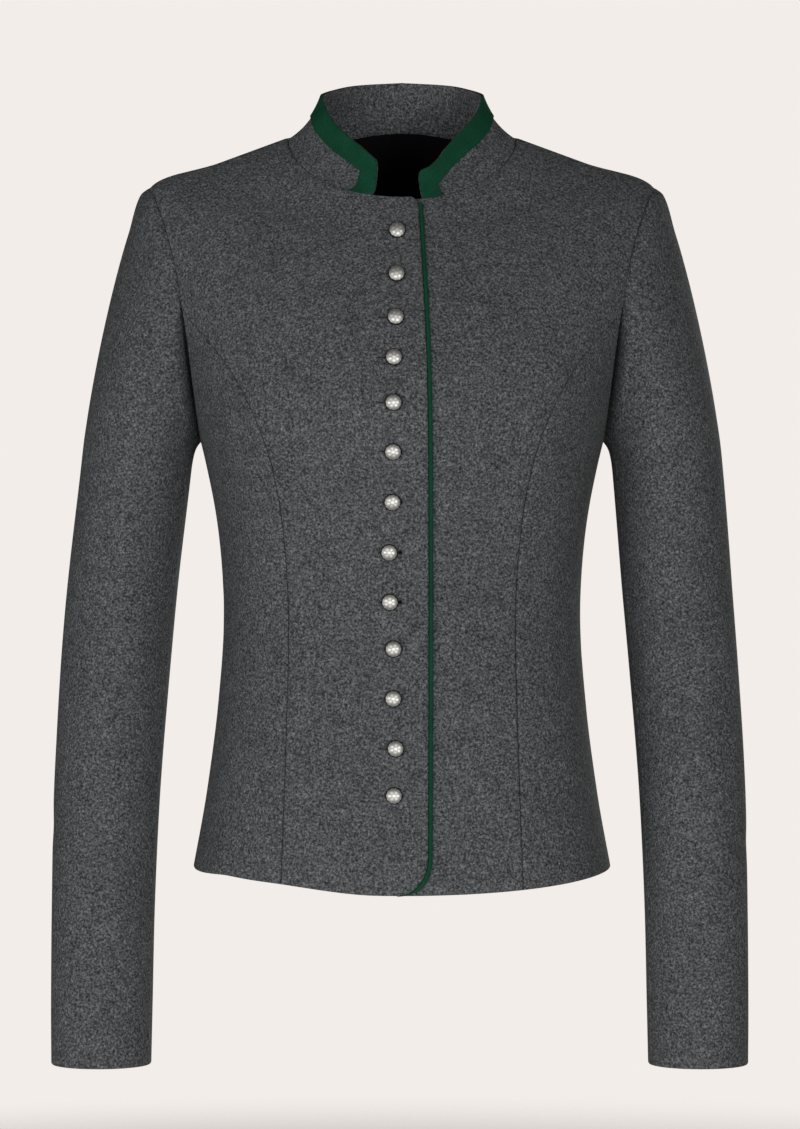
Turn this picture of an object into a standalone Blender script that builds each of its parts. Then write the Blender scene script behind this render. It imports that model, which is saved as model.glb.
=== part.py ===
"""A fitted trachten jacket of grey wool, hollow as it is worn, with green felt edging and metal buttons.

The frame is in metres with +Z up. The front faces -Y and the wearer's left is +X. The origin lies midway
between the two points where the shoulder seams meet the collar, which is where the wearer carries the jacket.
Sizes in the tables and constants are millimetres, and place functions return millimetres.
"""

import math
from bisect import bisect_right
from collections import namedtuple
from functools import lru_cache

import bmesh
import bpy
from mathutils import Vector
from mathutils.bvhtree import BVHTree

MM = 0.001
RIGHT, LEFT = -1, 1

# Cloth and seams
CLOTH = 2.0
FELT = 1.2
LINING = 1.0
SEAM_GAP = 0.3

# The body is a loft through rings, from the hem up to the neck seam. The rings above the underarm pass
# through the armhole, whose opening is cut out of the loft.
# front and back are the ring's depth and height at the centre lines, and square makes it less of an ellipse.
# slope is the power of the cosine by which the ring's height runs from the side to the centre lines.
Ring = namedtuple("Ring", "name side_z half_width side_y front_y front_z back_y back_z square slope")
BODY_RINGS = [
    Ring("hem", -510, 146.0, 2, -106, -523, 104, -514, 0.030, 1.8),
    Ring("hip", -458, 136.5, 2, -101, -463, 98, -460, 0.030, 1.4),
    Ring("high_hip", -397, 128.8, 2, -97, -399, 85, -398, 0.030, 1.12),
    Ring("waist", -334, 124.8, 3, -95, -334, 75, -334, 0.030, 1.12),
    Ring("midriff", -272, 129.0, 4, -107, -268, 81, -272, 0.038, 1.12),
    Ring("underarm", -211.8, 141.2, 5, -127, -196, 97, -209, 0.048, 1.12),
    Ring("chest", -150, 158.0, 5, -116, -144, 104, -148, 0.030, 1.12),
    Ring("arm_ball", -80, 181.0, 5, -97, -107, 99, -86, -0.010, 1.12),
    Ring("shoulder_tip", -34.3, 176.6, 5, -82, -83, 88, -42, -0.045, 1.12),
    Ring("mid_shoulder", -17, 128.0, 3, -69, -64, 75, -13, -0.040, 1.12),
    Ring("neck", 0, 80.5, 0, -58, -47, 62, 10, 0.0, 1.12),
]

# The armhole's edge as it looks from the front, from the underarm up to the shoulder tip.
SeamPoint = namedtuple("SeamPoint", "z x")
ARMHOLE_EDGE = [
    SeamPoint(-211.8, 141.2),
    SeamPoint(-195, 142.8),
    SeamPoint(-166, 146.0),
    SeamPoint(-140, 149.4),
    SeamPoint(-112, 153.9),
    SeamPoint(-89, 158.3),
    SeamPoint(-68, 164.0),
    SeamPoint(-46, 171.4),
    SeamPoint(-34.3, 176.6),
]

# The princess seam runs on the front from the hem to the armhole.
PRINCESS_SEAM = [
    SeamPoint(-525, 83.0),
    SeamPoint(-415, 79.5),
    SeamPoint(-336, 78.0),
    SeamPoint(-287, 80.5),
    SeamPoint(-246, 86.0),
    SeamPoint(-205, 98.0),
    SeamPoint(-163, 120.0),
    SeamPoint(-120, 156.0),
]

# The right front laps over the left one. Its edge stands past the centre line and has round corners.
EdgePoint = namedtuple("EdgePoint", "z x")
LAP_EDGE = [EdgePoint(-523, 17.5), EdgePoint(-300, 18.0), EdgePoint(-160, 16.5), EdgePoint(-40, 10.5)]
LAP_RAISE = CLOTH + 0.5
LAP_RAISE_FROM, LAP_RAISE_TO = -62.0, -18.0
UNDERLAP = 14.0
HEM_CORNER_WIDTH, HEM_CORNER_HEIGHT = 21.0, 25.0
NECK_CORNER_WIDTH, NECK_CORNER_HEIGHT = 5.0, 8.0
PIPING_WIDTH = 2.8
PIPING_SINK = 0.4
PIPING_TAPER_FROM, PIPING_TAPER_TO = -0.08, 0.3
PIPING_TOP_DROP = 4.8

# Sleeve rings below the armhole. tilt is the ring's rise towards the outside, and the sleeve bends forward.
# Below the elbow both sleeves hang a little to the wearer's right, which is their sway.
SleeveRing = namedtuple("SleeveRing", "name z centre_x centre_y half_width half_depth tilt")
SLEEVE_RINGS = [
    SleeveRing("biceps", -229, 186.0, 6, 38.0, 55.0, 0.20),
    SleeveRing("upper_arm", -298, 193.0, 8, 38.3, 51.5, 0.12),
    SleeveRing("elbow", -376, 199.6, 7, 37.9, 47.0, 0.09),
    SleeveRing("forearm", -454, 204.4, -4, 37.1, 43.0, 0.05),
    SleeveRing("lower_arm", -532, 206.2, -18, 35.9, 40.0, 0.02),
    SleeveRing("wrist", -606, 206.6, -30, 35.2, 38.0, 0.01),
    SleeveRing("cuff", -644, 206.6, -35, 34.6, 37.0, 0.0),
]
SLEEVE_SWAY, SLEEVE_SWAY_FROM, SLEEVE_SWAY_TO = -1.6, -215.0, -330.0
FRONT_SLEEVE_SEAM, BACK_SLEEVE_SEAM = 20.3, 300.0

# The collar stands on the neck seam. Each row is a section of it, at an angle from the centre front, with
# its height on the wearer's right and left and the width of the felt band along its top edge. The left end
# stands lower and nearer to the centre. Each end stands out past its foot, the right one with a round.
CollarSection = namedtuple("CollarSection", "angle right_height left_height lean band")
COLLAR_SECTIONS = [
    CollarSection(0, 22.0, 18.0, 6.0, 16.0),
    CollarSection(14, 25.5, 21.5, 8.4, 16.0),
    CollarSection(22, 30.0, 25.5, 12.2, 16.0),
    CollarSection(30, 33.0, 31.0, 16.2, 15.5),
    CollarSection(45, 34.5, 35.0, 20.5, 15.5),
    CollarSection(68, 33.5, 33.5, 23.8, 16.5),
    CollarSection(90, 31.5, 31.5, 24.4, 17.0),
    CollarSection(125, 32.0, 32.0, 20.5, 17.0),
    CollarSection(155, 34.0, 34.0, 9.5, 16.0),
    CollarSection(180, 35.4, 35.4, 4.0, 16.0),
]
COLLAR_END_X = {RIGHT: 25.0, LEFT: 15.5}
CollarFoot = namedtuple("CollarFoot", "width share")
COLLAR_FOOT = {RIGHT: CollarFoot(6.0, 0.35), LEFT: CollarFoot(2.5, 1.0)}
COLLAR_CORNER = 2.4
COLLAR_CORNER_SHARE = 0.2
COLLAR_CENTRE_Y, COLLAR_SET_IN = 5.0, 0.5
COLLAR_BEND_LEAN, COLLAR_BEND_HEIGHT = 0.70, 0.33
BAND_END_WIDTH, BAND_LIFT = 11.5, 0.6
SLANT_PER_LEAN = 0.35

# A lining covers the inside of the back below the neck seam.
LINING_TOP_DROP, LINING_DEPTH = 0.8, 105.0

# Buttons sit a little to the wearer's right of the centre line. A row is the middle of one of them.
ButtonPlace = namedtuple("ButtonPlace", "x z")
BUTTONS = [
    ButtonPlace(-3.2, -70.6),
    ButtonPlace(-3.6, -101.4),
    ButtonPlace(-4.2, -131.6),
    ButtonPlace(-5.4, -159.2),
    ButtonPlace(-5.7, -189.7),
    ButtonPlace(-6.0, -222.6),
    ButtonPlace(-6.4, -256.4),
    ButtonPlace(-8.6, -290.4),
    ButtonPlace(-8.1, -324.1),
    ButtonPlace(-5.7, -356.0),
    ButtonPlace(-5.9, -389.7),
    ButtonPlace(-4.3, -423.5),
    ButtonPlace(-5.4, -455.3),
]
BUTTON_RADIUS = 5.9
BUTTON_RIM, BUTTON_DOME = 0.9, 3.1
SHANK_RADIUS, SHANK_LENGTH = 1.6, 0.9
BUTTON_SIDES = 10

# Mesh sizes
FRONT_COLUMNS, SIDE_COLUMNS, BACK_COLUMNS = 8, 8, 9
BODY_ROWS, ARMHOLE_ROWS, SHOULDER_ROWS, CORNER_ROWS = 15, 9, 3, 4
SLEEVE_ROWS = 9
CAP_SHARES = [0.0, 0.07, 0.18, 0.34, 0.55, 0.78]
COLLAR_ROWS = 6
BAND_END_COLUMNS = 4
LINING_COLUMNS = 7


def table_curve(knots, values):
    """A smooth function through a table: cubic pieces whose slope at a knot comes from its neighbours."""
    last = len(knots) - 1
    slopes = []
    for i in range(last + 1):
        low, high = max(i - 1, 0), min(i + 1, last)
        slopes.append((values[high] - values[low]) / (knots[high] - knots[low]))

    def value(t):
        i = min(max(bisect_right(knots, t) - 1, 0), last - 1)
        span = knots[i + 1] - knots[i]
        s = (t - knots[i]) / span
        start = values[i] * (1 + 2 * s) * (1 - s) ** 2 + slopes[i] * span * s * (1 - s) ** 2
        end = values[i + 1] * s * s * (3 - 2 * s) - slopes[i + 1] * span * s * s * (1 - s)
        return start + end

    return value


def column_curves(rows, knots, names):
    """One smooth function for each named column of a table."""
    return {name: table_curve(knots, [getattr(row, name) for row in rows]) for name in names}


def smooth_step(low, high, value):
    s = min(max((value - low) / (high - low), 0.0), 1.0)
    return s * s * (3 - 2 * s)


def mix(a, b, share):
    return a + (b - a) * share


def solve(low, high, is_past):
    """The value between low and high where is_past turns true."""
    for _ in range(36):
        middle = (low + high) / 2
        low, high = (low, middle) if is_past(middle) else (middle, high)
    return (low + high) / 2


def surface_normal(point, a, b, step_a, step_b):
    """Unit normal of the surface point(a, b), from small steps either way."""
    along_a = point(a + step_a, b) - point(a - step_a, b)
    along_b = point(a, b + step_b) - point(a, b - step_b)
    return along_a.cross(along_b).normalized()


# The body loft


def ring_spacing(low, high):
    """Mean distance between two body rings, which sets how far apart they are along the loft."""
    front = math.hypot(high.front_y - low.front_y, high.front_z - low.front_z)
    side = math.hypot(high.half_width - low.half_width, high.side_z - low.side_z)
    back = math.hypot(high.back_y - low.back_y, high.back_z - low.back_z)
    return (front + side + back) / 3


BODY_KNOTS = [0.0]
for lower, upper in zip(BODY_RINGS, BODY_RINGS[1:]):
    BODY_KNOTS.append(BODY_KNOTS[-1] + ring_spacing(lower, upper))
BODY_LEVEL = {ring.name: knot for ring, knot in zip(BODY_RINGS, BODY_KNOTS)}
HEM, UNDERARM, TIP, NECK = (BODY_LEVEL[name] for name in ("hem", "underarm", "shoulder_tip", "neck"))
BODY_COLUMNS = column_curves(BODY_RINGS, BODY_KNOTS, Ring._fields[1:])


@lru_cache(maxsize=None)
def body_ring(level):
    return Ring("between", **{name: curve(level) for name, curve in BODY_COLUMNS.items()})


def body_point(angle, level):
    """A point of the body's outer face. angle is in degrees from the centre front, positive on the left."""
    ring = body_ring(level)
    turn = math.radians(angle)
    in_front = math.cos(turn) >= 0
    depth = (ring.front_y if in_front else ring.back_y) - ring.side_y
    rise = (ring.front_z if in_front else ring.back_z) - ring.side_z
    across = (math.sin(turn) + ring.square * math.sin(3 * turn)) / (1 - ring.square)
    forward = abs(math.cos(turn) - ring.square * math.cos(3 * turn)) / (1 - ring.square)
    slope = abs(math.cos(turn)) ** ring.slope
    return Vector((ring.half_width * across, ring.side_y + depth * forward, ring.side_z + rise * slope))


def body_normal(angle, level):
    top, bottom = min(level, NECK - 0.5), 0.5
    return surface_normal(body_point, angle, max(top, bottom), 0.4, 0.4)


def degrees_for(angle, level, distance):
    """The turn, in degrees, that moves a body point by this distance round its ring."""
    step = 0.2
    moved = (body_point(angle + step, level) - body_point(angle - step, level)).length
    return distance * 2 * step / moved


def angle_at_x(level, x_at):
    """The front angle where the ring's width reaches x_at(z)."""

    def is_past(angle):
        point = body_point(angle, level)
        return point.x > x_at(point.z)

    return solve(0.0, 90.0, is_past)


# The armhole


ARMHOLE_X = table_curve([point.z for point in ARMHOLE_EDGE], [point.x for point in ARMHOLE_EDGE])


@lru_cache(maxsize=None)
def armhole_angle(level, in_front):
    """The angle of the armhole's edge on a ring, on the wearer's left, or 90 where the ring misses it."""
    if not UNDERARM < level < TIP:
        return 90.0

    def inside(angle):
        point = body_point(angle, level)
        return point.x > ARMHOLE_X(point.z)

    return solve(25.0, 90.0, inside) if in_front else solve(90.0, 155.0, lambda angle: not inside(angle))


def armhole_level(turn):
    """The level of the armhole's edge at a turn in degrees: 0 underarm, 90 front, 180 tip, 270 back."""
    return mix(UNDERARM, TIP, (1 - math.cos(math.radians(turn))) / 2)


def armhole_turn(level, in_front):
    turn = math.degrees(math.acos(1 - 2 * (level - UNDERARM) / (TIP - UNDERARM)))
    return turn if in_front else 360 - turn


def armhole_place(turn):
    """(angle, level) of the armhole's edge at a turn."""
    level = armhole_level(turn)
    return armhole_angle(level, turn % 360 < 180), level


def even_steps(low, high, count):
    return [mix(low, high, step / count) for step in range(count + 1)]


ARMHOLE_LEVELS = [armhole_level(180 * row / ARMHOLE_ROWS) for row in range(1, ARMHOLE_ROWS)]
SHOULDER_LEVELS = even_steps(TIP, NECK, SHOULDER_ROWS)
BACK_LEVELS = even_steps(HEM, UNDERARM, BODY_ROWS) + ARMHOLE_LEVELS + SHOULDER_LEVELS


# Panels and materials


def material(name, colour, roughness, metallic=0.0):
    made = bpy.data.materials.new(name)
    made.use_nodes = True
    shader = made.node_tree.nodes["Principled BSDF"]
    shader.inputs["Base Color"].default_value = (*colour, 1.0)
    shader.inputs["Roughness"].default_value = roughness
    shader.inputs["Metallic"].default_value = metallic
    return made


def add_object(name, mesh, finish):
    """Links a mesh into the jacket's collection, under the empty at its origin."""
    made = bpy.data.objects.new(name, mesh)
    if finish.name not in mesh.materials:
        mesh.materials.append(finish)
    bpy.data.collections["trachten_jacket"].objects.link(made)
    made.parent = bpy.data.objects["jacket_origin"]
    return made


def cloth_wall(name, columns, rows, place, thickness, finish):
    """A closed wall of cloth: a grid whose points lie at place(column, row), made thick inwards.

    place returns a point of the outer face and the outward direction there.
    """
    shape = bmesh.new()
    bmesh.ops.create_grid(shape, x_segments=len(columns) - 1, y_segments=len(rows) - 1, size=0.5)
    extruded = bmesh.ops.extrude_face_region(shape, geom=shape.faces[:])
    inner = {item for item in extruded["geom"] if isinstance(item, bmesh.types.BMVert)}
    for vertex in shape.verts:
        column = columns[round((vertex.co.x + 0.5) * (len(columns) - 1))]
        row = rows[round((vertex.co.y + 0.5) * (len(rows) - 1))]
        point, outward = place(column, row)
        depth = thickness if vertex in inner else 0.0
        vertex.co = (point - outward * depth) * MM
    bmesh.ops.triangulate(shape, faces=shape.faces[:], quad_method="SHORT_EDGE")
    bmesh.ops.recalc_face_normals(shape, faces=shape.faces[:])
    if shape.calc_volume(signed=True) < 0:
        bmesh.ops.reverse_faces(shape, faces=shape.faces[:])
    mesh = bpy.data.meshes.new(name)
    shape.to_mesh(mesh)
    shape.free()
    mesh.shade_smooth()
    mesh.set_sharp_from_angle(angle=math.radians(40))
    return add_object(name, mesh, finish)


# Fronts


PRINCESS_X = table_curve([point.z for point in PRINCESS_SEAM], [point.x for point in PRINCESS_SEAM])
LAP_X = table_curve([point.z for point in LAP_EDGE], [point.x for point in LAP_EDGE])
FRONT_HEM_Z, FRONT_NECK_Z = BODY_RINGS[0].front_z, BODY_RINGS[-1].front_z


@lru_cache(maxsize=None)
def princess_angle(level):
    return angle_at_x(level, PRINCESS_X)


PRINCESS_TOP = solve(UNDERARM, TIP, lambda t: princess_angle(t) > armhole_angle(t, True))
FRONT_LEVELS = even_steps(HEM, PRINCESS_TOP, BODY_ROWS)
FRONT_LEVELS += [level for level in ARMHOLE_LEVELS if level > PRINCESS_TOP + 5] + SHOULDER_LEVELS


def round_corner(width, height, from_end):
    """How far an edge is drawn in, this far from the end of an elliptical corner."""
    share = min(max(1 - from_end / height, 0.0), 1.0)
    return width * (1 - math.sqrt(1 - share * share))


@lru_cache(maxsize=None)
def lap_angle(level):
    """The angle of the right front's edge, past the centre line on the wearer's left."""
    z = body_point(0, level).z
    drawn_in = round_corner(HEM_CORNER_WIDTH, HEM_CORNER_HEIGHT, z - FRONT_HEM_Z)
    drawn_in += round_corner(NECK_CORNER_WIDTH, NECK_CORNER_HEIGHT, FRONT_NECK_Z - z)
    reach = LAP_X(z) - drawn_in
    return math.copysign(angle_at_x(level, lambda _: abs(reach)), reach)


def raised(point, outward):
    """The right front rises near the centre line to pass over the left front."""
    share = smooth_step(LAP_RAISE_FROM, LAP_RAISE_TO, point.x)
    return point + outward * LAP_RAISE * share


def right_front_point(angle, level):
    return raised(body_point(angle, level), body_normal(angle, level))


def front_edge_angle(side, level):
    """Signed angle of a front's free edge."""
    return lap_angle(level) if side == RIGHT else -angle_at_x(level, lambda _: UNDERLAP)


def centre_front_outer(level):
    """The outer edge of a centre front: princess seam, then armhole, then shoulder seam."""
    if level <= PRINCESS_TOP:
        angle = princess_angle(level)
        return angle - degrees_for(angle, level, SEAM_GAP / 2)
    if level < TIP:
        return armhole_angle(level, True)
    return 90 - degrees_for(90, level, SEAM_GAP / 2)


def corner_levels():
    """Extra levels that follow the right front's round corners."""
    front_z = BODY_COLUMNS["front_z"]
    levels = []
    for row in range(1, CORNER_ROWS):
        share = 1 - math.cos(math.pi / 2 * row / CORNER_ROWS)
        hem_z = FRONT_HEM_Z + HEM_CORNER_HEIGHT * share
        neck_z = FRONT_NECK_Z - NECK_CORNER_HEIGHT * share
        levels.append(solve(HEM, UNDERARM, lambda t: front_z(t) > hem_z))
        levels.append(solve(TIP, NECK, lambda t: front_z(t) > neck_z))
    return levels


def merged_levels(levels, closest=1.2):
    """Sorted levels without those that crowd the one before."""
    kept = []
    for level in sorted(levels):
        if not kept or level - kept[-1] > closest:
            kept.append(level)
    kept[-1] = max(levels)
    return kept


def centre_front(side, finish):
    def place(share, level):
        angle = mix(front_edge_angle(side, level), side * centre_front_outer(level), share)
        point, outward = body_point(angle, level), body_normal(angle, level)
        return (raised(point, outward), outward) if side == RIGHT else (point, outward)

    levels = FRONT_LEVELS + corner_levels() if side == RIGHT else FRONT_LEVELS
    name = "centre_front_right" if side == RIGHT else "centre_front_left"
    return cloth_wall(name, even_steps(0, 1, FRONT_COLUMNS), merged_levels(levels), place, CLOTH, finish)


def side_front_angle(share, level):
    inner = princess_angle(level)
    inner += degrees_for(inner, level, SEAM_GAP / 2)
    outer = 90 - degrees_for(90, level, SEAM_GAP / 2)
    return mix(inner, outer, share)


@lru_cache(maxsize=None)
def side_front_top(share):
    """The level where a column of the side front meets the armhole."""
    return solve(UNDERARM, PRINCESS_TOP, lambda t: side_front_angle(share, t) > armhole_angle(t, True))


def side_front(side, finish):
    def place(share, height):
        level = mix(HEM, side_front_top(share), height)
        angle = side * side_front_angle(share, level)
        return body_point(angle, level), body_normal(angle, level)

    name = "side_front_right" if side == RIGHT else "side_front_left"
    columns, rows = even_steps(0, 1, SIDE_COLUMNS), even_steps(0, 1, BODY_ROWS)
    return cloth_wall(name, columns, rows, place, CLOTH, finish)


def front_piping(finish):
    """A felt strip that stands out along the right front's edge and tapers off at the hem."""

    def edge(level):
        return right_front_point(lap_angle(level), level)

    def place(share, level):
        step = 0.3
        low, high = max(level - step, HEM), min(level + step, NECK)
        along = (edge(high) - edge(low)).normalized()
        outward = body_normal(lap_angle(level), level)
        away = along.cross(outward).normalized()
        away *= math.copysign(1, away.x) if abs(away.x) > abs(away.z) else -math.copysign(1, away.z)
        z = body_point(0, level).z
        taper = smooth_step(PIPING_TAPER_FROM, PIPING_TAPER_TO, (z - FRONT_HEM_Z) / HEM_CORNER_HEIGHT)
        reach = SEAM_GAP + PIPING_WIDTH * taper * share
        return edge(level) + away * reach - outward * PIPING_SINK, outward

    top = solve(TIP, NECK, lambda t: body_point(0, t).z > FRONT_NECK_Z - PIPING_TOP_DROP)
    levels = [level for level in FRONT_LEVELS + corner_levels() if level < top] + [top]
    return cloth_wall("front_piping", even_steps(0, 1, 2), merged_levels(levels), place, FELT, finish)


# Back


def back_outer(level):
    if UNDERARM < level < TIP:
        return armhole_angle(level, False)
    return 90 + degrees_for(90, level, SEAM_GAP / 2)


def back_angle(side, share, level):
    """share runs from the centre back seam to the back's outer edge."""
    centre = 180 - degrees_for(180, level, SEAM_GAP / 2)
    return side * mix(centre, back_outer(level), share)


def back_half(side, finish):
    def place(share, level):
        angle = back_angle(side, share, level)
        return body_point(angle, level), body_normal(angle, level)

    name = "back_right" if side == RIGHT else "back_left"
    columns = even_steps(0, 1, BACK_COLUMNS)
    return cloth_wall(name, columns, merged_levels(BACK_LEVELS), place, CLOTH, finish)


def back_lining(finish):
    """A lining panel inside both back halves, on the same lines, from the neck seam down."""

    def place(column, level):
        side = RIGHT if column < 0 else LEFT
        angle = back_angle(side, abs(column) / BACK_COLUMNS, level)
        point, outward = body_point(angle, level), body_normal(angle, level)
        return point - outward * (CLOTH + SEAM_GAP), outward

    columns = list(range(-LINING_COLUMNS, LINING_COLUMNS + 1))
    top = NECK - LINING_TOP_DROP
    rows = [level for level in BACK_LEVELS if top - LINING_DEPTH < level < top] + [top]
    return cloth_wall("back_lining", columns, merged_levels(rows), place, LINING, finish)


# Sleeves


SLEEVE_KNOTS = [SLEEVE_RINGS[0].z - ring.z for ring in SLEEVE_RINGS]
SLEEVE_CURVES = column_curves(SLEEVE_RINGS, SLEEVE_KNOTS, SleeveRing._fields[2:])
SLEEVE_LENGTH = SLEEVE_KNOTS[-1]


def sleeve_tube_point(turn, drop):
    """A point of the left sleeve below the cap. turn is as at the armhole, and drop is below the biceps."""
    size = {name: curve(drop) for name, curve in SLEEVE_CURVES.items()}
    angle = math.radians(turn)
    out = -size["half_width"] * math.cos(angle)
    x = size["centre_x"] + out
    y = size["centre_y"] - size["half_depth"] * math.sin(angle)
    return Vector((x, y, SLEEVE_RINGS[0].z - drop + size["tilt"] * out))


@lru_cache(maxsize=None)
def cap_handles(turn):
    """Bezier points of the cap's line at this turn, from the armhole down to the biceps ring."""
    angle, level = armhole_place(turn)
    seam, outward = body_point(angle, level), body_normal(angle, level)
    step = 2.0
    before, after = (body_point(*armhole_place(turn + way * step)) for way in (-1, 1))
    across = (after - before).cross(outward).normalized()
    across *= math.copysign(1, across.x)
    start = seam + across * SEAM_GAP
    end = sleeve_tube_point(turn, 0)
    above_underarm = (1 - math.cos(math.radians(turn))) / 2
    leave = Vector((mix(0.6, 0.88, above_underarm), 0, mix(-0.8, -0.48, above_underarm))).normalized()
    arrive = (sleeve_tube_point(turn, 1) - end).normalized()
    span = (end - start).length
    first = start + leave * span * mix(0.3, 0.08, above_underarm)
    second = end - arrive * span * mix(0.33, 0.31, above_underarm)
    return start, first, second, end, outward


def sleeve_point(turn, drop):
    """A point of the left sleeve. drop runs from -1 at the armhole to 0 at the biceps, then in mm."""
    if drop >= 0:
        return sleeve_tube_point(turn, drop)
    start, first, second, end, _ = cap_handles(turn)
    s = drop + 1
    return start * (1 - s) ** 3 + first * 3 * s * (1 - s) ** 2 + second * 3 * s * s * (1 - s) + end * s**3


def sleeve_normal(turn, drop):
    if drop <= -1:
        return cap_handles(turn)[4]
    in_cap = drop < 0
    step = 0.02 if in_cap else 1.0
    low, high = max(drop - step, -1), min(drop + step, 0 if in_cap else SLEEVE_LENGTH)
    down = sleeve_point(turn, high) - sleeve_point(turn, low)
    around = sleeve_point(turn + 2, drop) - sleeve_point(turn - 2, drop)
    return down.cross(around).normalized()


def armhole_turns():
    """Turns of the points that the body's panels have on the armhole, which the sleeve meets."""
    front = [side_front_top(step / SIDE_COLUMNS) for step in range(SIDE_COLUMNS)]
    front += [level for level in FRONT_LEVELS if PRINCESS_TOP < level < TIP]
    back = ARMHOLE_LEVELS
    turns = [0.0, 180.0]
    for in_front, levels in ((True, front), (False, back)):
        for level in levels:
            turns.append(armhole_turn(level, in_front))
    return sorted(turns)


def sleeve_piece(name, side, first_turn, last_turn, turns, finish):
    def place(turn, drop):
        point, outward = sleeve_point(turn, drop), sleeve_normal(turn, drop)
        sway = SLEEVE_SWAY * smooth_step(SLEEVE_SWAY_FROM, SLEEVE_SWAY_TO, point.z)
        placed = Vector((side * point.x + sway, point.y, point.z))
        return placed, Vector((side * outward.x, outward.y, outward.z))

    half_gap = math.degrees(SEAM_GAP / 2 / SLEEVE_RINGS[2].half_width)
    between = [turn for turn in turns if first_turn < turn < last_turn]
    columns = [first_turn + half_gap] + between + [last_turn - half_gap]
    rows = [share - 1 for share in CAP_SHARES] + even_steps(0, SLEEVE_LENGTH, SLEEVE_ROWS)
    return cloth_wall(name, columns, rows, place, CLOTH, finish)


def sleeve(side, finish):
    """A two-piece sleeve, whose seams run down towards the body."""
    turns = armhole_turns()
    front = min(turns, key=lambda turn: abs(turn - FRONT_SLEEVE_SEAM))
    back = min(turns, key=lambda turn: abs(turn - BACK_SLEEVE_SEAM))
    word = "right" if side == RIGHT else "left"
    sleeve_piece(f"top_sleeve_{word}", side, front, back, turns, finish)
    behind = [turn - 360 for turn in turns]
    sleeve_piece(f"under_sleeve_{word}", side, back - 360, front, behind + turns, finish)


# Collar


COLLAR_ANGLES = [section.angle for section in COLLAR_SECTIONS]
COLLAR_CURVES = column_curves(COLLAR_SECTIONS, COLLAR_ANGLES, CollarSection._fields[1:])
COLLAR_END_ANGLE = {side: angle_at_x(NECK, lambda _: COLLAR_END_X[side]) for side in (RIGHT, LEFT)}


def collar_height(angle):
    return COLLAR_CURVES["right_height" if angle < 0 else "left_height"](abs(angle))


def side_of(signed):
    return RIGHT if signed < 0 else LEFT


def collar_line_point(angle, share):
    """A point of the collar's outer face. angle is signed from the centre front, share runs up the stand."""
    base = body_point(angle, NECK)
    if -90 < angle < 0:
        base = raised(base, body_normal(angle, NECK))
    height, lean = collar_height(angle), COLLAR_CURVES["lean"](abs(angle))
    inwards = Vector((-base.x, COLLAR_CENTRE_Y - base.y, 0)).normalized()
    base = base + Vector((0, 0, SEAM_GAP)) + inwards * COLLAR_SET_IN
    bend = base + inwards * lean * COLLAR_BEND_LEAN + Vector((0, 0, height * COLLAR_BEND_HEIGHT))
    top = base + inwards * lean + Vector((0, 0, height))
    return base * (1 - share) ** 2 + bend * 2 * share * (1 - share) + top * share * share


def collar_angle(along, share):
    """along runs from -1 at the right end, round the back at 0, to 1 at the left end."""
    foot = COLLAR_FOOT[side_of(along)]
    drawn_in = round_corner(COLLAR_CORNER, COLLAR_CORNER_SHARE, 1 - share)
    stands_out = foot.width - round_corner(foot.width, foot.share, share)
    end = COLLAR_END_ANGLE[side_of(along)]
    end += degrees_for(end, NECK, drawn_in - stands_out)
    turned = 180 - (180 - end) * abs(along)
    return math.copysign(turned, along)


def collar_place(along, share):
    def point(a, s):
        return collar_line_point(collar_angle(a, s), s)

    step = 0.004
    a, s = min(max(along, step - 1), 1 - step), min(max(share, 0.02), 0.98)
    outward = surface_normal(point, a, s, step, 0.02) if abs(a) > step else Vector((0, 1, 0))
    facing = point(along, share) - Vector((0, COLLAR_CENTRE_Y, 0))
    facing.z = 0
    return point(along, share), outward * math.copysign(1, outward.dot(facing))


def collar_columns():
    """Places along the collar that lie on the points which the body's panels have at the neck seam."""
    places = [-1, 0, 1]
    for side in (RIGHT, LEFT):
        end = COLLAR_END_ANGLE[side]
        front = front_edge_angle(side, NECK)
        angles = [mix(front, side * 90, step / FRONT_COLUMNS) for step in range(1, FRONT_COLUMNS)]
        angles += [side * mix(180, 90, step / BACK_COLUMNS) for step in range(1, BACK_COLUMNS + 1)]
        places += [side * (180 - side * a) / (180 - end) for a in angles if side * a > end + 3]
    return sorted(places)


def collar(finish):
    rows = even_steps(0, 1, COLLAR_ROWS)
    return cloth_wall("collar", collar_columns(), rows, collar_place, CLOTH, finish)


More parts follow.
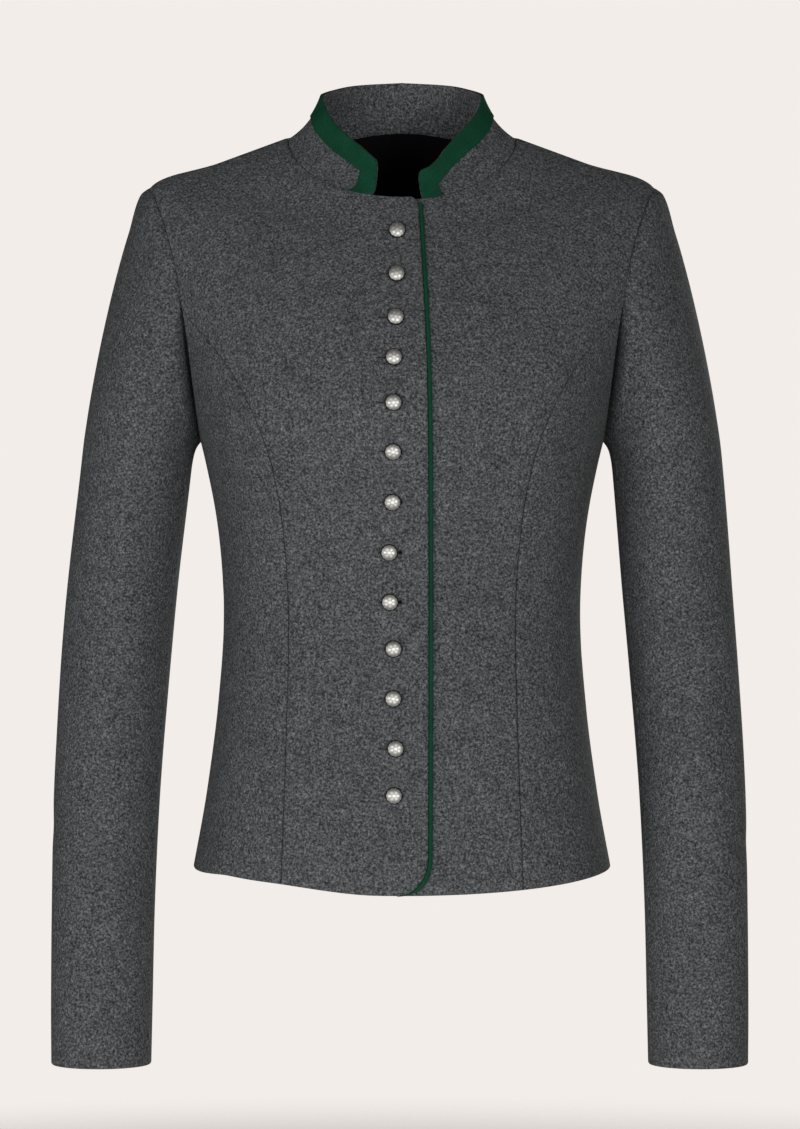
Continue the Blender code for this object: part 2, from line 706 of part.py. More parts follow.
def collar_band(finish):
    """A felt band on the collar's outer face, along its front ends and its top edge."""

    def end_share(side):
        """The share of a collar half that the band is wide, at the collar's end."""
        end = COLLAR_END_ANGLE[side]
        quarter_turn = (collar_line_point(side * end, 0.5) - collar_line_point(side * 90, 0.5)).length
        return BAND_END_WIDTH / quarter_turn * (90 - end) / (180 - end)

    end_shares = {side: end_share(side) for side in (RIGHT, LEFT)}

    def inner_line(along):
        """The band's inner line stops short of the collar's ends, where the band turns its corner."""
        crowded = max(abs(along) - (1 - 2 * end_shares[side_of(along)]), 0)
        return math.copysign(abs(along) - crowded / 2, along)

    def place(path, width):
        """path runs up the right end from 0 to 1, along the top to 2 and down the left end to 3."""
        top_line = mix(-1, 1, min(max(path - 1, 0), 1))
        along = mix(inner_line(top_line), top_line, width)
        angle = collar_angle(along, 1)
        slant_height = collar_height(angle) + SLANT_PER_LEAN * COLLAR_CURVES["lean"](abs(angle))
        top = 1 - COLLAR_CURVES["band"](abs(angle)) / slant_height * (1 - width)
        share = top * min(max(1 - abs(path - 1.5) + 0.5, 0), 1)
        point, outward = collar_place(along, share)
        return point + outward * (BAND_LIFT + FELT), outward

    end_steps = even_steps(0, 1, BAND_END_COLUMNS)
    top_steps = [1.5 + column / 2 for column in collar_columns()]
    paths = end_steps[:-1] + top_steps + [2 + step for step in end_steps[1:]]
    return cloth_wall("collar_band", paths, even_steps(0, 1, 2), place, FELT, finish)


# Buttons


def button_profile():
    """Outline of a domed shank button from the top of its dome down to the end of its shank."""
    dome_steps = 3
    outline = []
    for step in range(dome_steps + 1):
        turn = math.pi / 2 * step / dome_steps
        height = SHANK_LENGTH + BUTTON_RIM + BUTTON_DOME * math.cos(turn)
        outline.append((BUTTON_RADIUS * math.sin(turn), height))
    outline += [
        (BUTTON_RADIUS * 0.94, SHANK_LENGTH),
        (SHANK_RADIUS, SHANK_LENGTH),
        (SHANK_RADIUS, 0.0),
        (0.0, 0.0),
    ]
    return outline


def button_mesh():
    shape = bmesh.new()
    points = [shape.verts.new(Vector((radius, 0, height)) * MM) for radius, height in button_profile()]
    for start, end in zip(points, points[1:]):
        shape.edges.new((start, end))
    mesh = bpy.data.meshes.new("button")
    shape.to_mesh(mesh)
    shape.free()
    return mesh


def buttons(front, finish):
    """A row of buttons, each seated on the right front's face."""
    mesh = button_mesh()
    corners = [vertex.co for vertex in front.data.vertices]
    face = BVHTree.FromPolygons(corners, [tuple(part.vertices) for part in front.data.polygons])
    for number, button in enumerate(BUTTONS, start=1):
        level = solve(HEM, NECK, lambda t: right_front_point(0, t).z > button.z)
        angle = -angle_at_x(level, lambda _: -button.x)
        outward = body_normal(angle, level)
        above = right_front_point(angle, level) + outward * 10
        seat, facing, _, _ = face.ray_cast(above * MM, -outward)
        made = add_object(f"button_{number:02d}", mesh, finish)
        made.location = seat + facing * SEAM_GAP * MM
        made.rotation_mode = "QUATERNION"
        made.rotation_quaternion = facing.to_track_quat("Z", "Y")
        turned = made.modifiers.new("turned", "SCREW")
        turned.steps = turned.render_steps = BUTTON_SIDES
        turned.use_merge_vertices = True
        turned.merge_threshold = 0.00001
        turned.use_normal_calculate = True


def clear_scene():
    for old in list(bpy.data.objects):
        bpy.data.objects.remove(old, do_unlink=True)


def main():
    clear_scene()
    jacket = bpy.data.collections.new("trachten_jacket")
    bpy.context.scene.collection.children.link(jacket)
    jacket.objects.link(bpy.data.objects.new("jacket_origin", None))
    wool = material("grey_wool", (0.068, 0.072, 0.076), 0.95)
    felt = material("green_felt", (0.006, 0.042, 0.023), 0.95)
    silver = material("old_silver", (0.46, 0.45, 0.41), 0.38, metallic=1.0)
    lining = material("black_lining", (0.004, 0.004, 0.004), 0.6)
    fronts = {}
    for side in (RIGHT, LEFT):
        fronts[side] = centre_front(side, wool)
        side_front(side, wool)
        back_half(side, wool)
        sleeve(side, wool)
    collar(wool)
    collar_band(felt)
    front_piping(felt)
    back_lining(lining)
    buttons(fronts[RIGHT], silver)


main()
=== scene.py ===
# %% [markdown]
# # A trachten jacket, dressed
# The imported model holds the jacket's cut pieces as plain walls of cloth. This lesson gives each piece a
# finer sheet in the same place: soft seams, a few creases, wool that is speckled like the real cloth, felt
# edging and small metal buttons. The frame is in metres with +Z up. The front faces -Y and the wearer's
# left is +X. Every table below is in millimetres, because that is how a tailor measures.

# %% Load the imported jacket
import math
from bisect import bisect_right
from collections import namedtuple
from functools import lru_cache

import bmesh
import bpy
from mathutils import Matrix, Vector


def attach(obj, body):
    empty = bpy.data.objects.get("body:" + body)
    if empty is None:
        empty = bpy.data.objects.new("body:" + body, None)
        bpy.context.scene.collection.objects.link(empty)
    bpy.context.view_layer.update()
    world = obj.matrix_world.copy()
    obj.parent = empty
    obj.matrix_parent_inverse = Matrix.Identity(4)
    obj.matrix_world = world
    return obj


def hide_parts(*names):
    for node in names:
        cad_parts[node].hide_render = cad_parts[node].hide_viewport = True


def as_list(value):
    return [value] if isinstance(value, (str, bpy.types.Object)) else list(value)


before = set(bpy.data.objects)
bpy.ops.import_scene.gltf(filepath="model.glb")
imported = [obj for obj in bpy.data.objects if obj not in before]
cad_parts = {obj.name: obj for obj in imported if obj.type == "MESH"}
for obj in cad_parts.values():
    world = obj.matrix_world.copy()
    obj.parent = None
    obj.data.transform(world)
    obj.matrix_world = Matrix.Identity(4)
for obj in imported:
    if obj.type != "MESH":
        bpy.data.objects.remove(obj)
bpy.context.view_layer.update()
MM = 0.001
RIGHT, LEFT = -1, 1

# %% [markdown]
# ## Camera
# The camera is level with the middle of the jacket. A pixel shows 0.7 mm of cloth, so the lens follows from
# the distance: film size times distance over the height that it sees. A long distance keeps the sleeves
# from looking nearer than they are.

# %% Camera
IMAGE_HEIGHT_PIXELS, MM_PER_PIXEL = 1129, 0.7
SHOULDER_PIXELS_FROM_TOP = 138
CAMERA_DISTANCE, FILM, CAMERA_X = 3.2, 36.0, -1.4
seen_height = IMAGE_HEIGHT_PIXELS * MM_PER_PIXEL * MM
camera_z = -(IMAGE_HEIGHT_PIXELS / 2 - SHOULDER_PIXELS_FROM_TOP) * MM_PER_PIXEL * MM
lens = bpy.data.cameras.new("camera")
lens.sensor_width = FILM
lens.lens = FILM * CAMERA_DISTANCE / seen_height
camera = bpy.data.objects.new("camera", lens)
camera.location = (CAMERA_X * MM, -CAMERA_DISTANCE, camera_z)
camera.rotation_euler = (math.radians(90), 0, 0)
bpy.context.scene.collection.objects.link(camera)
bpy.context.scene.camera = camera
print("lens", round(lens.lens, 1), "mm, seen height", round(seen_height, 3))

# %% [markdown]
# ## Light
# The jacket hangs before a pale, warm studio wall. What the camera sees behind it is that wall's colour,
# while the light that the wall throws back on the cloth is far weaker. Two broad lamps stand in front,
# level with the jacket and a little to each side, so every round form darkens towards its edges and every
# fold has a shadow. A weaker one stands at the wearer's right, and one behind lights the back. The lamps
# themselves stay out of the picture.

# %% Light
WALL, WALL_GLOW = (0.896, 0.847, 0.815), 0.13
Lamp = namedtuple("Lamp", "name place aim size power")
LAMPS = [
    Lamp("right_lamp", (-1.0, -3.0, -0.5), (0, 0, -0.3), 1.1, 27.0),
    Lamp("left_lamp", (1.0, -3.0, -0.5), (0, 0, -0.3), 1.1, 42.0),
    Lamp("side_lamp", (-2.3, -1.9, -0.5), (0, 0, -0.3), 1.4, 21.0),
    Lamp("back_lamp", (0.9, 2.6, 0.5), (0, 0, -0.3), 1.8, 40.0),
]
scene = bpy.context.scene
scene.view_settings.view_transform = "Standard"
scene.world = bpy.data.worlds.new("studio")
scene.world.use_nodes = True
wires = scene.world.node_tree
backdrop, seen_by = wires.nodes["Background"], wires.nodes.new("ShaderNodeLightPath")
brightness = wires.nodes.new("ShaderNodeMapRange")
brightness.inputs["To Min"].default_value = WALL_GLOW
wires.links.new(seen_by.outputs["Is Camera Ray"], brightness.inputs["Value"])
wires.links.new(brightness.outputs["Result"], backdrop.inputs["Strength"])
backdrop.inputs["Color"].default_value = (*WALL, 1)
for lamp in LAMPS:
    light = bpy.data.lights.new(lamp.name, "AREA")
    light.size, light.energy = lamp.size, lamp.power
    holder = bpy.data.objects.new(lamp.name, light)
    holder.location, holder.visible_camera = lamp.place, False
    holder.rotation_euler = (Vector(lamp.aim) - Vector(lamp.place)).to_track_quat("-Z", "Y").to_euler()
    scene.collection.objects.link(holder)
print(len(LAMPS), "lamps")

# %% [markdown]
# ## Shader sums
# A finish is a small sum: speckle times cloud, one colour mixed into another. Wiring each node by hand
# hides that, so this class wraps a socket. Plus, minus and times on it add Math nodes, and `node` adds any
# other kind.

# %% Shader sums
SHEEN_ROUGHNESS = 0.6


class Wire:
    """A shader socket that takes part in sums as a number does."""

    def __init__(self, tree, socket=None):
        self.tree, self.socket = tree, socket

    def node(self, kind, settings=(), sockets=(), output=0):
        """A node of this type: first its settings, then the values or links of its sockets."""
        made = self.tree.nodes.new("ShaderNode" + kind)
        for name, value in dict(settings).items():
            if name == "stops":
                for _ in value[2:]:
                    made.color_ramp.elements.new(1.0)
                for stop, (position, colour) in zip(made.color_ramp.elements, value):
                    stop.position, stop.color = position, (*colour, 1)
            else:
                setattr(made, name, value)
        for name, value in dict(sockets).items():
            if isinstance(value, Wire):
                self.tree.links.new(value.socket, made.inputs[name])
            else:
                made.inputs[name].default_value = value
        return Wire(self.tree, made.outputs[output])

    def maths(self, operation, first, second):
        return self.node("Math", {"operation": operation}, {0: first, 1: second})

    def __add__(self, other):
        return self.maths("ADD", self, other)

    def __sub__(self, other):
        return self.maths("SUBTRACT", self, other)

    def __rsub__(self, other):
        return self.maths("SUBTRACT", other, self)

    def __mul__(self, other):
        return self.maths("MULTIPLY", self, other)

    def noise(self, size, detail=2.0, roughness=0.5):
        """Noise on this place, whose grains are about size millimetres across."""
        sockets = {"Vector": self, "Scale": 1 / (size * MM), "Detail": detail, "Roughness": roughness}
        return self.node("TexNoise", {}, sockets)

    def ramp(self, *stops):
        return self.node("ValToRGB", {"stops": stops}, {"Fac": self})

    def bump(self, strength, height):
        """A normal that follows this relief, which is height millimetres deep."""
        return self.node("Bump", {}, {"Strength": strength, "Distance": height * MM, "Height": self})

    def shaded(self, share):
        """This colour made darker or lighter by a number that changes over the surface."""
        return self.node("VectorMath", {"operation": "SCALE"}, {0: self, "Scale": share})


def new_finish(name, roughness, metallic=0.0, sheen=0.0, specular=0.5):
    """A material with its constants set, its shader and a wire that starts at its Object coordinates."""
    finish = bpy.data.materials.new(name)
    finish.use_nodes = True
    shader = finish.node_tree.nodes["Principled BSDF"]
    shader.inputs["Roughness"].default_value = roughness
    shader.inputs["Metallic"].default_value = metallic
    shader.inputs["Sheen Weight"].default_value = sheen
    shader.inputs["Sheen Roughness"].default_value = SHEEN_ROUGHNESS
    shader.inputs["Specular IOR Level"].default_value = specular
    return finish, shader, Wire(finish.node_tree).node("TexCoord", output="Object")


def feed(shader, **wires):
    for name, wire in wires.items():
        wire.tree.links.new(wire.socket, shader.inputs[name.replace("_", " ")])


print("shader sums ready")

# %% [markdown]
# ## Wool
# The cloth is a milled melange: dark, mid and light fibres are mixed before spinning and the face is felted
# a little. A photograph shows this as grains of one or two millimetres with no direction. Two sizes of
# noise added together give that speckle. A power keeps most grains dark and lets the light ones stand out,
# and wider, weaker noises make the cloth cloudy. The same speckle raises the fibres with a Bump node, so
# light and dark grains don't look printed.

# %% Wool
WOOL_DARK, WOOL_LIGHT = (0.003, 0.0032, 0.0034), (0.345, 0.365, 0.379)
GRAIN, FINE_GRAIN, FIBRE = 1.55, 0.75, 0.35
TUFT, SMALL_TUFT, CLOUD = 9.0, 3.6, 60.0


def wool_finish():
    finish, shader, place = new_finish("melange_wool", 0.95, sheen=0.02, specular=0.2)
    grains = place.noise(GRAIN, 1.5, 0.6) * 0.62 + place.noise(FINE_GRAIN, 2.0, 0.6) * 0.38
    tufts = place.noise(TUFT, 2.0, 0.5) * 0.5 + place.noise(SMALL_TUFT, 1.0, 0.5) * 0.35
    cloud = tufts + place.noise(CLOUD, 1.0, 0.5) * 0.22 + 0.465
    light_share = grains.maths("POWER", (grains - 0.18) * 1.6, 2.4)
    colour = light_share.ramp((0.0, WOOL_DARK), (1.0, WOOL_LIGHT)).shaded(cloud)
    height = grains + place.noise(FIBRE, 1.0, 0.5) * 0.5
    feed(shader, Base_Color=colour, Normal=height.bump(0.45, 0.6))
    return finish


wool = wool_finish()
print("finish", wool.name)

# %% [markdown]
# ## Felt, lining and thread
# The edging is a dense green felt, far more even than the wool: only a fine mottle and a soft nap. The
# lining is a smooth black cloth that hardly shows anything but its depth. The buttonholes are worked in
# dark grey thread.

# %% Felt, lining and thread
FELT_DARK, FELT_LIGHT = (0.0028, 0.032, 0.0150), (0.0095, 0.075, 0.0380)
LINING_DARK, LINING_LIGHT = (0.0008, 0.0008, 0.0008), (0.0022, 0.0022, 0.0023)
THREAD_DARK, THREAD_LIGHT = (0.020, 0.021, 0.022), (0.060, 0.063, 0.066)
NAP, MOTTLE, WEAVE, TWIST = 0.9, 14.0, 0.5, 0.4


def felt_finish():
    finish, shader, place = new_finish("green_felt", 0.95, specular=0.1)
    nap = place.noise(NAP, 2.0, 0.6) * 0.7 + place.noise(MOTTLE, 1.0, 0.5) * 0.3
    feed(shader, Base_Color=nap.ramp((0.25, FELT_DARK), (0.75, FELT_LIGHT)), Normal=nap.bump(0.3, 0.4))
    return finish


# The same black finish also stands in as painted shade on the cut edges in seams and in the buttonhole
# keyholes.
def lining_finish():
    finish, shader, place = new_finish("black_lining", 0.7, specular=0.12)
    weave = place.noise(WEAVE, 1.0, 0.5)
    feed(shader, Base_Color=weave.ramp((0.3, LINING_DARK), (0.7, LINING_LIGHT)))
    return finish


def thread_finish():
    finish, shader, place = new_finish("buttonhole_thread", 0.8, sheen=0.1)
    twist = place.noise(TWIST, 1.0, 0.5)
    feed(shader, Base_Color=twist.ramp((0.3, THREAD_DARK), (0.7, THREAD_LIGHT)))
    return finish


felt, lining, thread = felt_finish(), lining_finish(), thread_finish()
print("finishes", felt.name, lining.name, thread.name)

# %% [markdown]
# ## Old silver
# The buttons are darkened on purpose and then rubbed, so their raised parts are bright and their hollows
# stay grey. The button's mesh stores how high each point stands as an attribute, and the finish reads it.
# The rim is black, partly dark patina and partly painted shade where the button turns under towards the
# cloth: there the attribute is below zero.

# %% Old silver
SILVER_BLACK, SILVER_DARK = (0.03, 0.028, 0.024), (0.36, 0.352, 0.33)
SILVER_BRIGHT, TARNISH = (0.68, 0.67, 0.64), 0.5


def silver_finish():
    finish, shader, place = new_finish("old_silver", 0.35, metallic=1.0)
    relief = place.node("Attribute", {"attribute_name": "relief"}, output="Fac")
    rub_patina_and_shade = relief * 0.6 + place.noise(TARNISH, 2.0, 0.6) * 0.45
    # Below zero, at the rim, the ramp gives black: dark patina and painted shade.
    colour = rub_patina_and_shade.ramp((0.0, SILVER_BLACK), (0.18, SILVER_DARK), (0.85, SILVER_BRIGHT))
    feed(shader, Base_Color=colour, Roughness=0.56 - relief * 0.08)
    return finish


silver = silver_finish()
print("finish", silver.name)

# %% [markdown]
# ## Floor
# A disc needs only a filled circle. Its alpha falls towards the rim, from the distance to the middle.

# %% Floor
FLOOR_Z, FLOOR_RADIUS, FLOOR_CLEAR, FLOOR_SIDES = -0.80, 1.15, 0.55, 96


def floor_finish():
    finish, shader, place = new_finish("pale_floor", 0.9)
    shader.inputs["Base Color"].default_value = (*WALL, 1)
    away = place.node("VectorMath", {"operation": "LENGTH"}, {0: place}, output="Value")
    span = {"From Min": FLOOR_CLEAR, "From Max": FLOOR_RADIUS, "To Min": 1.0, "To Max": 0.0, "Value": away}
    feed(shader, Alpha=away.node("MapRange", {"interpolation_type": "SMOOTHSTEP"}, span))
    return finish


disc = bmesh.new()
bmesh.ops.create_circle(disc, cap_ends=True, segments=FLOOR_SIDES, radius=FLOOR_RADIUS)
floor_mesh = bpy.data.meshes.new("floor")
disc.to_mesh(floor_mesh)
disc.free()
floor_mesh.materials.append(floor_finish())
floor = bpy.data.objects.new("floor", floor_mesh)
floor.location.z = FLOOR_Z
scene.collection.objects.link(floor)
print("floor at", FLOOR_Z)

# %% [markdown]
# ## The body's form
# The body's panels are cut from one round form: rings from the hem up to the neck seam, joined by smooth
# curves. A cloth simulation would need the pattern pieces and a body to fall on. The rings are simpler and
# stay where the solids are, so this cell repeats the solids' own table and loft.

# %% Curves through tables
HALVINGS = 28


def table_curve(knots, values):
    """A smooth function through a table: cubic pieces whose slope at a knot comes from its neighbours."""
    last = len(knots) - 1
    slopes = []
    for i in range(last + 1):
        low, high = max(i - 1, 0), min(i + 1, last)
        slopes.append((values[high] - values[low]) / (knots[high] - knots[low]))

    def value(t):
        i = min(max(bisect_right(knots, t) - 1, 0), last - 1)
        span = knots[i + 1] - knots[i]
        s = (t - knots[i]) / span
        start = values[i] * (1 + 2 * s) * (1 - s) ** 2 + slopes[i] * span * s * (1 - s) ** 2
        end = values[i + 1] * s * s * (3 - 2 * s) - slopes[i + 1] * span * s * s * (1 - s)
        return start + end

    return value


def column_curves(rows, knots, names):
    """One smooth function for each named column of a table."""
    return {name: table_curve(knots, [getattr(row, name) for row in rows]) for name in names}


def smooth_step(low, high, value):
    s = min(max((value - low) / (high - low), 0.0), 1.0)
    return s * s * (3 - 2 * s)


def mix(a, b, share):
    return a + (b - a) * share


def even_steps(low, high, count):
    return [mix(low, high, step / count) for step in range(count + 1)]


def solve(low, high, is_past):
    """The value between low and high where is_past turns true."""
    for _ in range(HALVINGS):
        middle = (low + high) / 2
        low, high = (low, middle) if is_past(middle) else (middle, high)
    return (low + high) / 2


def surface_normal(point, a, b, step_a, step_b):
    """Unit normal of the surface point(a, b), from small steps either way."""
    along_a = point(a + step_a, b) - point(a - step_a, b)
    along_b = point(a, b + step_b) - point(a, b - step_b)
    return along_a.cross(along_b).normalized()


print("curves ready")

# %% The body loft
Ring = namedtuple("Ring", "name side_z half_width side_y front_y front_z back_y back_z square slope")
BODY_RINGS = [
    Ring("hem", -510, 146.0, 2, -106, -523, 104, -514, 0.030, 1.8),
    Ring("hip", -458, 136.5, 2, -101, -463, 98, -460, 0.030, 1.4),
    Ring("high_hip", -397, 128.8, 2, -97, -399, 85, -398, 0.030, 1.12),
    Ring("waist", -334, 124.8, 3, -95, -334, 75, -334, 0.030, 1.12),
    Ring("midriff", -272, 129.0, 4, -107, -268, 81, -272, 0.038, 1.12),
    Ring("underarm", -211.8, 141.2, 5, -127, -196, 97, -209, 0.048, 1.12),
    Ring("chest", -150, 158.0, 5, -116, -144, 104, -148, 0.030, 1.12),
    Ring("arm_ball", -80, 181.0, 5, -97, -107, 99, -86, -0.010, 1.12),
    Ring("shoulder_tip", -34.3, 176.6, 5, -82, -83, 88, -42, -0.045, 1.12),
    Ring("mid_shoulder", -17, 128.0, 3, -69, -64, 75, -13, -0.040, 1.12),
    Ring("neck", 0, 80.5, 0, -58, -47, 62, 10, 0.0, 1.12),
]
SEAM_GAP = 0.3
NORMAL_STEP, TURN_STEP, LOFT_END = 0.4, 0.2, 0.5


def ring_spacing(low, high):
    """Mean distance between two body rings, which sets how far apart they are along the loft."""
    front = math.hypot(high.front_y - low.front_y, high.front_z - low.front_z)
    side = math.hypot(high.half_width - low.half_width, high.side_z - low.side_z)
    back = math.hypot(high.back_y - low.back_y, high.back_z - low.back_z)
    return (front + side + back) / 3


BODY_KNOTS = [0.0]
for lower, upper in zip(BODY_RINGS, BODY_RINGS[1:]):
    BODY_KNOTS.append(BODY_KNOTS[-1] + ring_spacing(lower, upper))
BODY_LEVEL = {ring.name: knot for ring, knot in zip(BODY_RINGS, BODY_KNOTS)}
HEM, UNDERARM, TIP, NECK = (BODY_LEVEL[name] for name in ("hem", "underarm", "shoulder_tip", "neck"))
BODY_COLUMNS = column_curves(BODY_RINGS, BODY_KNOTS, Ring._fields[1:])


@lru_cache(maxsize=None)
def body_ring(level):
    return Ring("between", **{name: curve(level) for name, curve in BODY_COLUMNS.items()})


def body_point(angle, level):
    """A point of the body's outer face. angle is in degrees from the centre front, positive on the left."""
    ring = body_ring(level)
    turn = math.radians(angle)
    in_front = math.cos(turn) >= 0
    depth = (ring.front_y if in_front else ring.back_y) - ring.side_y
    rise = (ring.front_z if in_front else ring.back_z) - ring.side_z
    across = (math.sin(turn) + ring.square * math.sin(3 * turn)) / (1 - ring.square)
    forward = abs(math.cos(turn) - ring.square * math.cos(3 * turn)) / (1 - ring.square)
    slope = abs(math.cos(turn)) ** ring.slope
    return Vector((ring.half_width * across, ring.side_y + depth * forward, ring.side_z + rise * slope))


def body_normal(angle, level):
    level = max(min(level, NECK - LOFT_END), LOFT_END)
    return surface_normal(body_point, angle, level, NORMAL_STEP, NORMAL_STEP)


def degrees_for(angle, level, distance):
    """The turn, in degrees, that moves a body point by this distance round its ring."""
    moved = (body_point(angle + TURN_STEP, level) - body_point(angle - TURN_STEP, level)).length
    return distance * 2 * TURN_STEP / moved


def past_x(angle, level, x_at):
    point = body_point(angle, level)
    return point.x > x_at(point.z)


def angle_at_x(level, x_at):
    """The front angle where the ring's width reaches x_at(z)."""
    return solve(0.0, 90.0, lambda angle: past_x(angle, level, x_at))


print("body loft", round(NECK), "mm from hem to neck")

# %% [markdown]
# ## Armholes and seams
# On the real jacket the armhole is a cut edge, an egg seen from the side, into which the sleeve is set. The
# princess seam curves from it over the bust to the hem and takes in the waist. Both are lines on the loft,
# so each level of the body has an angle at which a panel ends.

# %% Armholes and seams
SeamPoint = namedtuple("SeamPoint", "z x")
ARMHOLE_EDGE = [
    SeamPoint(-211.8, 141.2),
    SeamPoint(-195, 142.8),
    SeamPoint(-166, 146.0),
    SeamPoint(-140, 149.4),
    SeamPoint(-112, 153.9),
    SeamPoint(-89, 158.3),
    SeamPoint(-68, 164.0),
    SeamPoint(-46, 171.4),
    SeamPoint(-34.3, 176.6),
]
PRINCESS_SEAM = [
    SeamPoint(-525, 83.0),
    SeamPoint(-415, 79.5),
    SeamPoint(-336, 78.0),
    SeamPoint(-287, 80.5),
    SeamPoint(-246, 86.0),
    SeamPoint(-205, 98.0),
    SeamPoint(-163, 120.0),
    SeamPoint(-120, 156.0),
]
ARMHOLE_ROWS, SHOULDER_ROWS = 44, 28
ARMHOLE_FRONT_END, ARMHOLE_BACK_END = 25.0, 155.0


def x_curve(line):
    """The x of a line on the body as a smooth function of its z."""
    return table_curve([point.z for point in line], [point.x for point in line])


PRINCESS_X, ARMHOLE_X = x_curve(PRINCESS_SEAM), x_curve(ARMHOLE_EDGE)


@lru_cache(maxsize=None)
def armhole_angle(level, in_front):
    """The angle of the armhole's edge on a ring, on the wearer's left, or 90 where the ring misses it."""
    if not UNDERARM < level < TIP:
        return 90.0
    if in_front:
        return solve(ARMHOLE_FRONT_END, 90.0, lambda angle: past_x(angle, level, ARMHOLE_X))
    return solve(90.0, ARMHOLE_BACK_END, lambda angle: not past_x(angle, level, ARMHOLE_X))


def armhole_level(turn):
    """The level of the armhole's edge at a turn in degrees: 0 underarm, 90 front, 180 tip, 270 back."""
    return mix(UNDERARM, TIP, (1 - math.cos(math.radians(turn))) / 2)


def armhole_place(turn):
    """(angle, level) of the armhole's edge at a turn."""
    level = armhole_level(turn)
    return armhole_angle(level, turn % 360 < 180), level


@lru_cache(maxsize=None)
def princess_angle(level):
    return angle_at_x(level, PRINCESS_X)


PRINCESS_TOP = solve(UNDERARM, TIP, lambda t: princess_angle(t) > armhole_angle(t, True))
# The lines next to the shoulder tip are left out, because the armhole's edge turns sharply there.
ALL_ROUND = range(-ARMHOLE_ROWS, 2 * ARMHOLE_ROWS)
NOT_BESIDE_TIP = [row for row in ALL_ROUND if abs(abs(row) - ARMHOLE_ROWS) != 1]
ARMHOLE_TURNS = [180 * row / ARMHOLE_ROWS for row in NOT_BESIDE_TIP]
ARMHOLE_LEVELS = [armhole_level(turn) for turn in ARMHOLE_TURNS if 0 < turn < 180]
SHOULDER_LEVELS = even_steps(TIP, NECK, SHOULDER_ROWS)
print("princess seam meets the armhole at z", round(body_point(princess_angle(PRINCESS_TOP), PRINCESS_TOP).z))

# %% [markdown]
# ## Creases
# The jacket is pressed, so its folds are shallow. What shows are soft pulls from the underarm, dents where
# the waist is taken in and bends inside the elbows. A noise would wrinkle the cloth everywhere alike. Each
# crease here is listed one by one: a bowed line with a width and a depth that fades to nothing at both
# ends. A negative depth is a ridge. The back has its own, much like the front's. The right front's hem
# hangs a little higher than the left's.

# %% Creases
Crease = namedtuple("Crease", "start_across start_along end_across end_along bow width depth")
FRONT_CREASES = [
    Crease(-138, -196, -78, -232, 5, 8.0, 0.9),
    Crease(-139, -212, -96, -262, -4, 9.0, 0.7),
    Crease(137, -200, 84, -226, -4, 8.0, 0.8),
    Crease(139, -214, 92, -272, 5, 10.0, 0.7),
    Crease(-127, -318, -72, -340, 5, 7.0, 0.8),
    Crease(-126, -352, -84, -350, -3, 8.0, 0.6),
    Crease(126, -322, 66, -336, -4, 8.0, 0.7),
    Crease(127, -356, 90, -372, 3, 7.0, 0.6),
    Crease(-60, -330, -22, -322, 2, 7.0, 0.4),
    Crease(62, -345, 30, -336, 2, 8.0, 0.4),
    Crease(-104, -60, -88, -150, 9, 15.0, 0.8),
    Crease(108, -64, 96, -158, -8, 15.0, 0.7),
    Crease(-110, -400, -116, -505, 4, 15.0, -0.9),
    Crease(108, -410, 114, -505, -4, 16.0, -0.9),
    Crease(-46, -420, -50, -520, 2, 16.0, -0.5),
    Crease(48, -400, 52, -520, -2, 15.0, -0.5),
    Crease(24, -60, 22, -520, 1, 6.0, 1.4),
]
BACK_CREASES = [
    Crease(-122, -316, -30, -338, 6, 8.0, 1.0),
    Crease(-118, -346, -44, -352, -4, 8.0, 0.8),
    Crease(121, -322, 26, -334, -6, 9.0, 1.0),
    Crease(119, -352, 52, -366, 4, 8.0, 0.7),
    Crease(-136, -196, -72, -238, 6, 10.0, 0.9),
    Crease(137, -204, 66, -240, -6, 10.0, 0.9),
    Crease(-112, -70, -98, -170, 9, 15.0, 0.9),
    Crease(114, -66, 102, -164, -9, 15.0, 0.8),
    Crease(-70, -400, -78, -505, 3, 17.0, -0.9),
    Crease(74, -410, 80, -505, -3, 17.0, -0.9),
]
CREASE_FADE = 1.3
HEM_RISE, HEM_RISE_HEIGHT = 4.1, 70.0
HEM_RISE_FROM, HEM_RISE_TO = (16.0, 92.0), (118.0, 148.0)


def crease_height(creases, across, along):
    """How far creases move the cloth outwards at a place on it, which is mostly inwards."""
    height = 0.0
    for crease in creases:
        run, rise = crease.end_across - crease.start_across, crease.end_along - crease.start_along
        away_across, away_along = across - crease.start_across, along - crease.start_along
        length = math.hypot(run, rise)
        share = (away_across * run + away_along * rise) / length**2
        if not 0 < share < 1:
            continue
        arch = 4 * share * (1 - share)
        offset = (away_across * rise - away_along * run) / length - crease.bow * arch
        height -= crease.depth * arch**CREASE_FADE * math.exp(-((offset / crease.width) ** 2))
    return height


def hem_rise(angle, point):
    """How far the hem of the right front is drawn up between the front edge and the side seam."""
    if not -90 < angle < 0:
        return 0.0
    share = smooth_step(*HEM_RISE_FROM, -point.x) * (1 - smooth_step(*HEM_RISE_TO, -point.x))
    return HEM_RISE * share * (1 - smooth_step(0, HEM_RISE_HEIGHT, point.z - body_point(angle, HEM).z))


def body_place(angle, level):
    """A creased point of the body and the outward direction there."""
    point, outward = body_point(angle, level), body_normal(angle, level)
    creases = FRONT_CREASES if abs(angle) < 90 else BACK_CREASES
    point.z += hem_rise(angle, point)
    return point + outward * crease_height(creases, point.x, point.z), outward


print(len(FRONT_CREASES), "front creases,", len(BACK_CREASES), "back creases")
